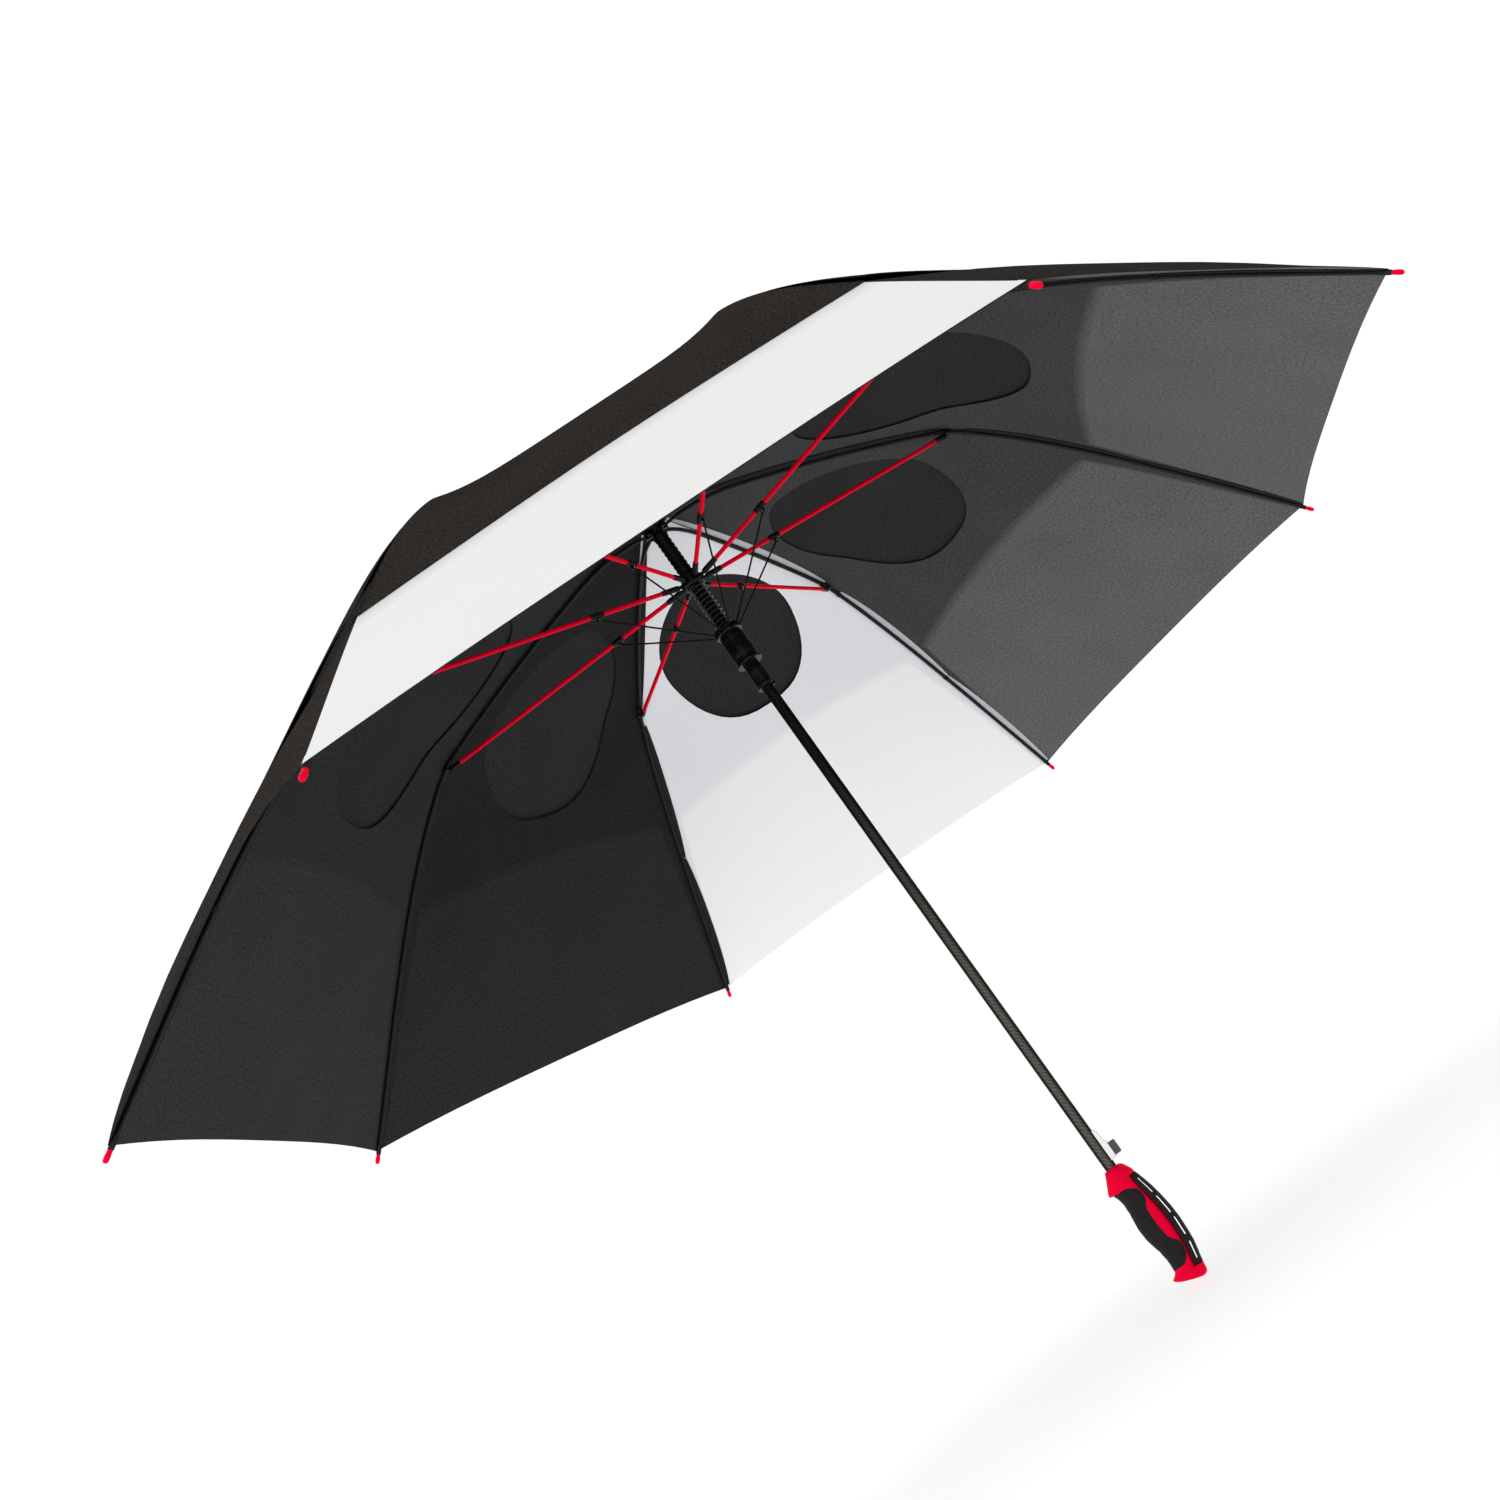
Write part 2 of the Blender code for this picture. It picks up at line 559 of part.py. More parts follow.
def release():
    """Catch housing on the shaft above the back of the handle, with its sprung button."""
    low, high, half = 145.0, 164.2, 4.2
    foot, face, floor = SHAFT_RADIUS + GAP, 12.0, 7.2
    sides = []
    for x in (-half, half):
        sides.append([(x, foot, low), (x, face, low), (x, face, high), (x, 9.8, high + 2), (x, 9.4, 178), (x, foot, 181)])
    shell = joined_rings("catch_shell", sides)
    pocket = box("catch_pocket", (-3.3, floor, low + 1.8), (3.3, face + 5, high - 1.8))
    mesh = combined("catch_housing", shell, removed=[pocket])
    place("catch_housing", mesh, "pale_plastic")
    button = box("release_button", (-3.0, 10.0, low + 2.2), (3.0, 19.2, high - 2.2))
    centre = (0, 14.6, (low + high) / 2)
    place("release_button", moved(button, *centre), "dark_grey_plastic", centre)


# ---------------------------------------------------------------- canopies
PANEL_HALF = pi / RIB_COUNT  # half the angle between two ribs
INNER_EDGE = 19.0
HEM_RADIUS = TIP_RADIUS - 3.0
HEM_SCALLOP = 6.5  # how far the hem curves in between two ribs
UPPER_HEM_RADIUS = 596.0
UPPER_SCALLOP = 22.0
UPPER_PUFF = 7.0  # how far the upper canopy rises off the lower between two ribs
UPPER_LIFT = FABRIC + 2.0
SEAM_GAP = 0.35  # from a rib's plane to the edge of each panel beside it


def seam_radii(hem_radius, inner_rows, outer_rows):
    """Radii along a seam, with one at the bend over the bracket and short steps after it."""
    step_in = (BRACKET_RADIUS - INNER_EDGE) / inner_rows
    rest = hem_radius - BRACKET_RADIUS
    radii = [INNER_EDGE + step_in * i for i in range(inner_rows)]
    return radii + [BRACKET_RADIUS + rest * (i / outer_rows) ** 1.4 for i in range(outer_rows + 1)]


def panel_outline(radii, scallop, columns):
    """Points round a panel in its own (outward, sideways) plan, up one seam, over the hem and back."""
    def seam(radius, side):
        return (radius * cos(PANEL_HALF), side * (radius * sin(PANEL_HALF) - SEAM_GAP))

    points = [seam(r, -1) for r in radii]
    far_u, far_v = seam(radii[-1], 1)
    for i in range(1, columns):
        t = -1 + 2 * i / columns
        points.append((far_u - scallop * (1 - t * t), far_v * t))
    points += [seam(r, 1) for r in reversed(radii)]
    return points


def vent_outline(count):
    """Egg-shaped vent, narrow towards the crown, in the panel's plan."""
    near, far, half = 176.0, 462.0, 94.0
    points = []
    for i in range(count):
        a = 2 * pi * i / count
        u = (near + far) / 2 - (far - near) / 2 * cos(a)
        points.append((u, -half * sin(a) * (1 - 0.22 * cos(a))))
    return points


def panel_surface(u, v, puff=0.0, hem=1.0):
    """Height of a panel's underside over the plan point (u, v)."""
    radius = u / cos(PANEL_HALF)
    across = min(abs(v) / max(u * tan(PANEL_HALF), 1), 1)
    return canopy_height(radius) + puff * (1 - across**2) * min(u / hem, 1)


def in_world(k, u, v, z):
    a = azimuth(k) + PANEL_HALF
    return (u * cos(a) - v * sin(a), u * sin(a) + v * cos(a), z)


def facing_points(outer, loop):
    """For each point of an outline, the point of a loop inside it that lies in the same direction."""
    middle = sum(u for u, v in loop) / len(loop)

    def bearing(point):
        return atan2(point[1], point[0] - middle)

    def off(point, target):
        return abs((bearing(point) - bearing(target) + pi) % (2 * pi) - pi)

    return [min(loop, key=lambda point: off(point, target)) for target in outer]


def lower_panels():
    """Between neighbouring ribs: a ring of cloth round the vent."""
    outer = panel_outline(seam_radii(HEM_RADIUS, 4, 5), HEM_SCALLOP, 4)
    vent_points = facing_points(outer, vent_outline(240))
    for k in range(1, RIB_COUNT + 1):
        rings = []
        for lift, shares in ((0.0, (0, 0.5, 1)), (FABRIC, (1, 0.5, 0))):
            for share in shares:
                ring = []
                for (u0, v0), (u1, v1) in zip(outer, vent_points):
                    u, v = u0 + (u1 - u0) * share, v0 + (v1 - v0) * share
                    ring.append(in_world(k, u, v, panel_surface(u, v) + lift))
                rings.append(ring)
        size = len(outer)
        points = [p for ring in rings for p in ring]
        faces = []
        for i in range(len(rings)):
            on = (i + 1) % len(rings)
            for j in range(size):
                after = (j + 1) % size
                here, beside = i * size + j, i * size + after
                across, over = on * size + after, on * size + j
                # the same diagonals on both faces, so that the thin cloth never meets itself
                if i < len(rings) / 2:
                    faces += [(here, beside, across), (here, across, over)]
                else:
                    faces += [(here, beside, over), (beside, across, over)]
        colour = "white_fabric" if k in (1, 5) else "black_fabric"
        place(f"lower_panel_{k}", mesh_of(f"lower_panel_{k}", points, faces), colour)


def upper_panels():
    """Over the vents: cloth that stands off the lower canopy between the ribs."""
    radii = seam_radii(UPPER_HEM_RADIUS, 4, 3)
    rows, columns = len(radii) - 1, 4
    for k in range(1, RIB_COUNT + 1):
        grid = []
        for i, radius in enumerate(radii):
            row = []
            for j in range(columns + 1):
                t = -1 + 2 * j / columns
                u = radius * cos(PANEL_HALF)
                v = t * (radius * sin(PANEL_HALF) - SEAM_GAP)
                u -= UPPER_SCALLOP * (1 - t * t) * (i / rows) ** 4
                z = panel_surface(u, v, UPPER_PUFF, UPPER_HEM_RADIUS / 2) + UPPER_LIFT
                row.append((u, v, z))
            grid.append(row)
        points = [in_world(k, u, v, z) for row in grid for u, v, z in row]
        points += [in_world(k, u, v, z + FABRIC) for row in grid for u, v, z in row]
        wide = columns + 1
        above = wide * (rows + 1)
        faces = []
        for i in range(rows):
            for j in range(columns):
                corner = i * wide + j
                quad = (corner, corner + 1, corner + wide + 1, corner + wide)
                faces.append(quad)
                faces.append(tuple(above + c for c in reversed(quad)))
        rim = [j for j in range(wide)] + [(i + 1) * wide + columns for i in range(rows)]
        rim += [rows * wide + j for j in range(columns - 1, -1, -1)]
        rim += [i * wide for i in range(rows - 1, 0, -1)]
        for a, b in zip(rim, rim[1:] + rim[:1]):
            faces.append((a, b, above + b, above + a))
        place(f"upper_panel_{k}", mesh_of(f"upper_panel_{k}", points, faces), "black_fabric")


def main():
    clear_scene()
    shaft_tube()
    ferrule()
    crown_notch()
    stop_sleeve()
    upper_hub()
    lower_hub()
    spring()
    inner_ribs()
    outer_ribs()
    stretchers()
    wires()
    handle_body()
    front_grip()
    back_strap()
    release()
    lower_panels()
    upper_panels()


main()
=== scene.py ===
"""Golf umbrella with a vented double canopy: the finished looks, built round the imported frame."""

from math import acos, asin, atan2, cos, exp, hypot, pi, radians, sin, tan

import bpy
from mathutils import Euler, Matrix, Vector


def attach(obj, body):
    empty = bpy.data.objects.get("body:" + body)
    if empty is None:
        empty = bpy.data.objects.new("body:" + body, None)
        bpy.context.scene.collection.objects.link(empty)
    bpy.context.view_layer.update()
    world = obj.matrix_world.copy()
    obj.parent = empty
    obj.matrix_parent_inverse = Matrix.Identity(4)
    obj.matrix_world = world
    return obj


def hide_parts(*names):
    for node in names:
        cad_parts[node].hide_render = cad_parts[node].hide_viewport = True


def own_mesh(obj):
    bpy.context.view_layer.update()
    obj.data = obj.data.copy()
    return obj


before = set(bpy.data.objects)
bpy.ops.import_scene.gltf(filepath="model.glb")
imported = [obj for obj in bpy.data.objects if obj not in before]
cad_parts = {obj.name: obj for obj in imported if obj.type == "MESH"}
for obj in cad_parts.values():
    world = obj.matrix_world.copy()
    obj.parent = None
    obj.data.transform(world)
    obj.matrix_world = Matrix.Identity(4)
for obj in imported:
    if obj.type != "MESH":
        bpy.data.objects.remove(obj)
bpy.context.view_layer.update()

MM = 0.001

# ---- the frame's own dimensions (mm)
RIB_COUNT = 8
FIRST_RIB_AZIMUTH = radians(-15)
TIP_RADIUS = 750.0
TIP_HEIGHT = 656.0
HINGE_RADIUS = 11.5
CROWN_Z = TIP_HEIGHT + 326.9
HUB_Z = TIP_HEIGHT + 251.8
BRACKET_RADIUS = 378.9
BRACKET_Z = (CROWN_Z + HUB_Z) / 2
PIN_DROP = 5.5
CLAMP_REACH = 101.0
WIRE_RING_RADIUS = 14.0
RING_Z = 840.0
RIB_LIFT = 3.8
ROD_END = 738.0  # where the outer rib enters its tip cap
SHAFT_RADIUS = 6.2
HALF = pi / RIB_COUNT  # half the angle between two ribs
HANDLE_TOP = 139.0

# ---- cloth dimensions (mm)
CLOTH = 0.45
HEM_THICKNESS = 1.0
INNER_EDGE = 19.0
HEM_RADIUS = 748.0
HEM_SCALLOP = 6.5
VENT_NEAR, VENT_FAR, VENT_HALF = 184.0, 440.0, 91.0
VENT_MIDDLE, VENT_REACH = (VENT_NEAR + VENT_FAR) / 2, (VENT_FAR - VENT_NEAR) / 2
UPPER_HEM_RADIUS = 596.5
UPPER_SCALLOP = 22.0
UPPER_LIFT = 2.8
LAYER_GAP = 1.1  # of the upper cloth over the lower where it lies on it
BEND_ROUNDING = 18.0
WHITE_PANELS = (1, 5)
LIT_PANELS = (2, 3, 4)  # charcoal panels painted lighter inside, for the light that comes through their one layer of cloth
SWELLS = {1: (-15, 390, 125), 2: (14, 615, 80), 8: (20, 650, 80)}  # height, middle and reach, by panel

# ---- paint on the cloth (m along a panel)
WEAVE_DEPTH = 0.0002
SHADE_START, SHADE_BOW, SHADE_WIDTH = 0.530, 0.021, 0.020  # painted soft shadow beside the upper hem, outside
LIT_START, LIT_BOW = 0.478, 0.016  # beyond this only one layer holds back the light, so the inside is painted lighter there
BAND_WIDTH, BAND_TAPER, BAND_START = 0.016, 0.055, 0.49  # band beside a rib that the painted light leaves out, narrower outwards


def azimuth(k):
    """Direction of rib k, anticlockwise from +X."""
    return FIRST_RIB_AZIMUTH + (k - 1) * 2 * pi / RIB_COUNT


def canopy_height(radius):
    """Underside of the lower canopy over a rib, with the bend at the bracket rounded off."""
    x, bend = radius / TIP_RADIUS, BRACKET_RADIUS / TIP_RADIUS
    if x <= bend:
        z = TIP_HEIGHT + TIP_RADIUS * (0.4658 - 0.05 * x - 0.1657 * x * x)
    else:
        over = x - bend
        z = TIP_HEIGHT + TIP_RADIUS * (0.3983 - 0.5 * over - 1.016 * over**2 + 0.824 * over**3)
    near = max(BEND_ROUNDING - abs(radius - BRACKET_RADIUS), 0)
    return z - 0.2826 * near**2 / (4 * BEND_ROUNDING)


def swell(u, middle, reach):
    return exp(-(((u - middle) / reach) ** 2))


def lower_drape(panel, u, across):
    """How far the lower cloth swells above (or hangs below) the straight line between its ribs."""
    if panel in SWELLS:
        height, middle, reach = SWELLS[panel]
        return height * swell(u, middle, reach) * (1 - across**4)
    return -3 * swell(u, 520, 120) * (1 - across**2)


def upper_drape(panel, u, across):
    """The same for the upper canopy, which is also free to lift a little at its hem."""
    flat = 1 - across**5
    free = max((u - 430) / 110, 0)
    resting = lower_drape(panel, u, across) + LAYER_GAP - UPPER_LIFT
    if panel == 1:
        near_hem = min(max((u - 430) / 70, 0), 1)
        return -12 * swell(u, 395, 85) * flat * (1 - near_hem) + resting * near_hem
    if panel in SWELLS:
        lifted = 8 * min(max((u - 280) / 140, 0), 1) * flat + 3 * free * (1 - flat)
        return max(lifted, resting)
    return 9 * free * flat + 2 * free * (1 - flat)


def rib_height(radius):
    """Middle of a rib under the canopy; near the crown it dips down to its hinge."""
    under = canopy_height(radius) - RIB_LIFT
    dip_end = 110.0
    if radius >= dip_end:
        return under
    share = (dip_end - radius) / (dip_end - HINGE_RADIUS)
    natural = canopy_height(HINGE_RADIUS) - RIB_LIFT
    return under - (natural - CROWN_Z) * share**2


# ---- node material helpers
class Look:
    """A Principled material whose colour, roughness and bump come from nodes."""

    def __init__(self, name, roughness=0.5, metallic=0.0, specular=0.5):
        self.material = bpy.data.materials.new(name)
        self.material.use_nodes = True
        self.tree = self.material.node_tree
        self.shader = self.tree.nodes["Principled BSDF"]
        self.shader.inputs["Roughness"].default_value = roughness
        self.shader.inputs["Metallic"].default_value = metallic
        self.shader.inputs["Specular IOR Level"].default_value = specular

    def node(self, kind, **inputs):
        made = self.tree.nodes.new(kind)
        for name, value in inputs.items():
            self.set(made.inputs[name.replace("_", " ")], value)
        return made

    def set(self, socket, value):
        if isinstance(value, bpy.types.NodeSocket):
            self.tree.links.new(value, socket)
        else:
            socket.default_value = value

    def coordinates(self, kind="Object"):
        return self.node("ShaderNodeTexCoord").outputs[kind]

    def split(self, vector):
        return self.node("ShaderNodeSeparateXYZ", Vector=vector).outputs

    def scaled(self, vector, scale):
        made = self.node("ShaderNodeMapping", Vector=vector)
        made.inputs["Scale"].default_value = scale
        return made.outputs["Vector"]

    def maths(self, operation, a, b=0.0):
        made = self.node("ShaderNodeMath")
        made.operation = operation
        self.set(made.inputs[0], a)
        self.set(made.inputs[1], b)
        return made.outputs[0]

    def noise(self, vector, scale, detail=2.0, roughness=0.5):
        made = self.node("ShaderNodeTexNoise", Vector=vector, Scale=scale, Detail=detail, Roughness=roughness)
        return made.outputs["Fac"]

    def wave(self, vector, scale, direction):
        made = self.node("ShaderNodeTexWave", Vector=vector, Scale=scale)
        made.bands_direction = direction
        return made.outputs["Fac"]

    def mix(self, factor, a, b):
        made = self.node("ShaderNodeMix")
        made.data_type = "RGBA"
        self.set(made.inputs[0], factor)
        for socket, value in ((made.inputs[6], a), (made.inputs[7], b)):
            self.set(socket, value if isinstance(value, bpy.types.NodeSocket) else (*value, 1))
        return made.outputs[2]

    def range(self, value, low, high, to_low=0.0, to_high=1.0):
        made = self.node("ShaderNodeMapRange")
        for socket, number in zip(made.inputs, (value, low, high, to_low, to_high)):
            self.set(socket, number)
        return made.outputs[0]

    def bump(self, height, strength, distance):
        made = self.node("ShaderNodeBump", Height=height, Strength=strength, Distance=distance)
        self.set(self.shader.inputs["Normal"], made.outputs["Normal"])

    def colour(self, value):
        self.set(self.shader.inputs["Base Color"], value)

    def roughness(self, value):
        self.set(self.shader.inputs["Roughness"], value)


def shade(colour, factor):
    return tuple(c * factor for c in colour)


def varied(look, share, colour, darker, lighter):
    """The colour, darker by one share and lighter by the other as the pattern goes from 0 to 1."""
    return look.mix(share, shade(colour, 1 - darker), shade(colour, 1 + lighter))


def speckle(look, cloth):
    """Slub of the yarn: fine flecks over a slow unevenness of the dye."""
    fleck = look.noise(cloth, 380, 2, 0.7)
    cloudy = look.noise(cloth, 9, 2)
    value = look.maths("ADD", look.maths("MULTIPLY", fleck, 0.85), look.maths("MULTIPLY", cloudy, 0.15))
    return look.range(value, 0.36, 0.64)


def weave_height(look, cloth):
    """Height of warp and weft together."""
    return look.maths("ADD", look.wave(cloth, 420, "X"), look.wave(cloth, 420, "Y"))


def cloth_outside(name, colour, spread, hem_shade=None):
    """Matt woven cloth; hem_shade is a painted shadow that darkens it softly beside the upper canopy's hem.
    """
    look = Look(name, roughness=1.0, specular=0.0)
    cloth = look.coordinates("UV")
    tint = varied(look, speckle(look, cloth), colour, spread, spread)
    # painted shadow of the upper canopy's hem
    if hem_shade:
        along, aside, _ = look.split(cloth)
        across = look.maths("DIVIDE", aside, look.maths("MULTIPLY", along, tan(HALF)))
        bow = look.maths("MULTIPLY", look.maths("MULTIPLY", across, across), SHADE_BOW)
        beyond = look.maths("SUBTRACT", along, look.maths("ADD", SHADE_START, bow))
        soft = look.maths("POWER", look.range(beyond, -0.002, SHADE_WIDTH), 0.6)
        tint = look.mix(soft, shade(colour, hem_shade), tint)
    look.colour(tint)
    look.bump(weave_height(look, cloth), 0.12, WEAVE_DEPTH)
    return look.material


def cloth_inside(name, double, single_layer_painted_light, spread):
    """Underside of the lower canopy: where the upper canopy lies over it, less light comes through; beyond
    that the cloth is painted lighter, as painted light.
    """
    look = Look(name, roughness=1.0, specular=0.05)
    cloth = look.coordinates("UV")
    along, aside, _ = look.split(cloth)
    aside = look.maths("ABSOLUTE", aside)
    seam = look.maths("MULTIPLY", along, tan(HALF))
    across = look.maths("DIVIDE", aside, look.maths("MAXIMUM", seam, 0.001))
    start = look.maths("ADD", LIT_START, look.maths("MULTIPLY", look.maths("POWER", across, 2.0), LIT_BOW))
    beyond = look.range(look.maths("SUBTRACT", along, start), -0.003, 0.009)
    from_rib = look.maths("MULTIPLY", look.maths("SUBTRACT", seam, aside), cos(HALF))
    taper = look.maths("MULTIPLY", look.maths("SUBTRACT", along, BAND_START), BAND_TAPER)
    past_band = look.maths("SUBTRACT", from_rib, look.maths("SUBTRACT", BAND_WIDTH, taper))
    # painted light: the lighter tone where one layer lets light through, kept off a band beside each rib
    lit = look.maths("MULTIPLY", beyond, look.range(past_band, -0.0015, 0.002))
    share = speckle(look, cloth)
    lit_and_shaded_tones = [varied(look, share, colour, spread, spread) for colour in (double, single_layer_painted_light)]
    look.colour(look.mix(lit, *lit_and_shaded_tones))
    look.bump(weave_height(look, cloth), 0.1, WEAVE_DEPTH)
    return look.material


def plastic(name, colour, roughness, texture=900, spread=0.12, specular=0.5, bump=0.05):
    """Moulded plastic with a fine grain and slightly uneven gloss."""
    look = Look(name, roughness=roughness, specular=specular)
    place = look.coordinates()
    broad = look.noise(place, 35, 3)
    look.colour(varied(look, look.range(broad, 0.3, 0.7), colour, spread, spread))
    look.roughness(look.range(broad, 0.2, 0.8, roughness - 0.06, roughness + 0.08))
    look.bump(look.noise(place, texture, 2), bump, 0.0003)
    return look.material


def drawn_rod(name, colour, roughness, specular):
    """Pulled glass-fibre rod: fine streaks that run along it."""
    look = Look(name, roughness=roughness, specular=specular)
    streaks = look.noise(look.scaled(look.coordinates("UV"), (30, 900, 1)), 1.0, 3, 0.6)
    look.colour(varied(look, look.range(streaks, 0.3, 0.7), colour, 0.14, 0.12))
    look.roughness(look.range(streaks, 0.2, 0.8, roughness - 0.05, roughness + 0.1))
    look.bump(streaks, 0.08, 0.0002)
    return look.material


def carbon_twill(name):
    """Carbon weave wound on the shaft: a 2 by 2 twill, with painted shade that darkens it towards the top and
    at its edges.
    """
    look = Look(name, roughness=0.38, specular=0.04)
    place = look.coordinates("UV")
    around, up, _ = look.split(place)
    diagonal = look.maths("FRACT", look.maths("MULTIPLY", look.maths("ADD", around, up), 210))
    other = look.maths("FRACT", look.maths("MULTIPLY", look.maths("SUBTRACT", around, up), 105))
    tow = look.maths("GREATER_THAN", diagonal, 0.5)
    step = look.maths("GREATER_THAN", other, 0.5)
    twill = look.maths("ABSOLUTE", look.maths("SUBTRACT", tow, look.maths("MULTIPLY", step, 0.4)))
    smear = look.maths("MULTIPLY", look.noise(place, 260, 2), 0.3)
    share = look.maths("ADD", look.maths("MULTIPLY", twill, 0.7), smear)
    weave = look.mix(share, (0.035, 0.032, 0.027), (0.15, 0.135, 0.115))
    # painted shade: the weave made near black up towards the canopy
    shaded_weave = look.mix(share, (0.003, 0.003, 0.003), (0.014, 0.014, 0.014))
    height = look.split(look.coordinates())[2]
    middle = look.mix(look.range(height, 0.36, 0.66), weave, shaded_weave)
    # painted shade: near black where the face turns away from view
    facing = look.node("ShaderNodeLayerWeight", Blend=0.5).outputs["Facing"]
    look.colour(look.mix(look.range(facing, 0.01, 0.26), middle, (0.0045, 0.0042, 0.004)))
    look.roughness(look.range(share, 0, 1, 0.28, 0.5))
    look.bump(twill, 0.1, 0.0002)
    look.shader.inputs["Coat Weight"].default_value = 0.03
    look.shader.inputs["Coat Roughness"].default_value = 0.12
    return look.material


def steel(name, colour, roughness):
    look = Look(name, roughness=roughness, metallic=0.85)
    marks = look.noise(look.scaled(look.coordinates(), (1, 1, 0.15)), 700, 3)
    look.colour(varied(look, look.range(marks, 0.3, 0.7), colour, 0.25, 0.3))
    look.roughness(look.range(marks, 0.2, 0.8, roughness - 0.08, roughness + 0.1))
    look.bump(marks, 0.06, 0.0002)
    return look.material


def grey(value):
    return (value, value, value)


LOOKS = {
    "white_out": cloth_outside("white_cloth_outside", (0.75, 0.75, 0.746), 0.02, hem_shade=0.72),
    "black_out": cloth_outside("black_cloth_outside", (0.0252, 0.0220, 0.0203), 0.5),
    # inside looks with painted light; the three charcoal ones are lit, dim and shaded copies of one cloth,
    # painted by panel
    "white_in": cloth_inside("white_cloth_inside", (0.76, 0.775, 0.80), grey(0.87), 0.02),
    "lit_in": cloth_inside("charcoal_cloth_inside_lit", (0.049, 0.048, 0.049), (0.107, 0.104, 0.104), 0.3),
    "dim_in": cloth_inside("charcoal_cloth_inside_dim", grey(0.0250), grey(0.0315), 0.34),
    "dark_in": cloth_inside("charcoal_cloth_inside", grey(0.0175), grey(0.0235), 0.34),
    "black_under": cloth_outside("black_cloth_underside", (0.0265, 0.0265, 0.027), 0.32),
    "black_bind": cloth_outside("black_binding", (0.021, 0.021, 0.0215), 0.25),
    "white_bind": cloth_outside("pale_satin_binding", (0.46, 0.47, 0.50), 0.06),
    "red_rod": drawn_rod("red_glass_fibre", (0.76, 0.0008, 0.021), 0.3, 0.02),
    "black_rod": drawn_rod("black_glass_fibre", (0.010, 0.010, 0.0105), 0.4, 0.12),
    "red_plastic": plastic("red_plastic", (0.80, 0.0006, 0.031), 0.34, spread=0.05, specular=0.012),
    "black_plastic": plastic("black_plastic", (0.004, 0.004, 0.0045), 0.3, specular=0.14),
    "black_rubber": plastic("black_rubber", (0.011, 0.0105, 0.011), 0.72, 1500, specular=0.15, bump=0.2),
    "polished_rim": plastic("polished_rim", (0.02, 0.02, 0.021), 0.16, specular=1.0, bump=0.02),
    "pale_plastic": plastic("pale_plastic", (0.84, 0.845, 0.84), 0.4, spread=0.03),
    "grey_plastic": plastic("dark_grey_plastic", (0.05, 0.052, 0.056), 0.5),
    "black_steel": plastic("blackened_steel", (0.006, 0.006, 0.0062), 0.3, specular=0.06, bump=0.02),
    "spring_wire": plastic("blackened_spring_wire", (0.008, 0.008, 0.0085), 0.2, specular=0.3, bump=0.02),
    "pin_steel": steel("pin_steel", (0.24, 0.24, 0.25), 0.3),
    "carbon": carbon_twill("carbon_twill"),
}


# ---- mesh helpers (all in mm)
def placed(name, data):
    obj = bpy.data.objects.new(name, data)
    bpy.context.collection.objects.link(obj)
    return obj


class Shape:
    """Points, faces, a material per face and a UV per point, gathered before they become one piece."""

    def __init__(self):
        self.points, self.faces, self.slots, self.uvs, self.names = [], [], [], [], []

    def slot(self, look):
        if look not in self.names:
            self.names.append(look)
        return self.names.index(look)

    def add(self, points, faces, look, uvs=None):
        first = len(self.points)
        self.points += [Vector(p) for p in points]
        self.uvs += uvs or [(0.0, 0.0)] * len(points)
        self.faces += [tuple(first + i for i in face) for face in faces]
        self.slots += [self.slot(look)] * len(faces)

    def turned(self, angle):
        c, s = cos(angle), sin(angle)
        for p in self.points:
            p.x, p.y = p.x * c - p.y * s, p.x * s + p.y * c

    def piece(self, name, body, nodes=(), slot=None, smooth=40):
        mesh = bpy.data.meshes.new(name)
        mesh.from_pydata([p * MM for p in self.points], [], self.faces)
        for look in self.names:
            mesh.materials.append(LOOKS[look])
        mesh.polygons.foreach_set("material_index", self.slots)
        uv = mesh.uv_layers.new(name="cloth")
        for loop in mesh.loops:
            uv.data[loop.index].uv = self.uvs[loop.vertex_index]
        mesh.shade_smooth()
        mesh.set_sharp_from_angle(angle=radians(smooth))
        obj = placed(name, mesh)
        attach(obj, body)
        if nodes:
            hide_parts(*nodes)
        return obj


def wrapped_faces(rows, size):
    """Quads between rows of rings, of which the last joins the first."""
    faces = []
    for i in range(rows):
        on = (i + 1) % rows
        for j in range(size):
            after = (j + 1) % size
            faces.append((i * size + j, i * size + after, on * size + after, on * size + j))
    return faces


def ring_faces(rows, size):
    """Quads between rows of rings, with a cap on the first and on the last."""
    caps = [tuple(reversed(range(size))), tuple(range((rows - 1) * size, rows * size))]
    return wrapped_faces(rows, size)[: (rows - 1) * size] + caps


def add_rod(shape, path, look, sides=14, flat=(1, 1)):
    """A rod through (point, radius) stations; flat = (across, up) factors on its section."""
    points, uvs = [], []
    travelled = 0.0
    centres = [Vector(p) for p, _ in path]
    side = None
    for i, (centre, (_, radius)) in enumerate(zip(centres, path)):
        along = (centres[min(i + 1, len(path) - 1)] - centres[max(i - 1, 0)]).normalized()
        if side is None:
            side = Vector((0, 1, 0)) if abs(along.y) < 0.9 else Vector((1, 0, 0))
        side = (side - along * side.dot(along)).normalized()
        up = along.cross(side)
        if i:
            travelled += (centre - centres[i - 1]).length
        for j in range(sides):
            turn = 2 * pi * j / sides
            across, rise = radius * flat[0] * cos(turn), radius * flat[1] * sin(turn)
            points.append(centre + side * across + up * rise)
            uvs.append((travelled * MM, radius * turn * MM))
    shape.add(points, [tuple(reversed(f)) for f in ring_faces(len(path), sides)], look, uvs)


def add_lathe(shape, outline, look, sides=40):
    """A turned solid from an open outline of (radius, z), from low to high, capped at both ends."""
    points, uvs = [], []
    for r, z in outline:
        for j in range(sides):
            turn = 2 * pi * j / sides
            points.append((r * cos(turn), r * sin(turn), z))
            uvs.append((SHAFT_RADIUS * turn * MM, z * MM))
    shape.add(points, ring_faces(len(outline), sides), look, uvs)


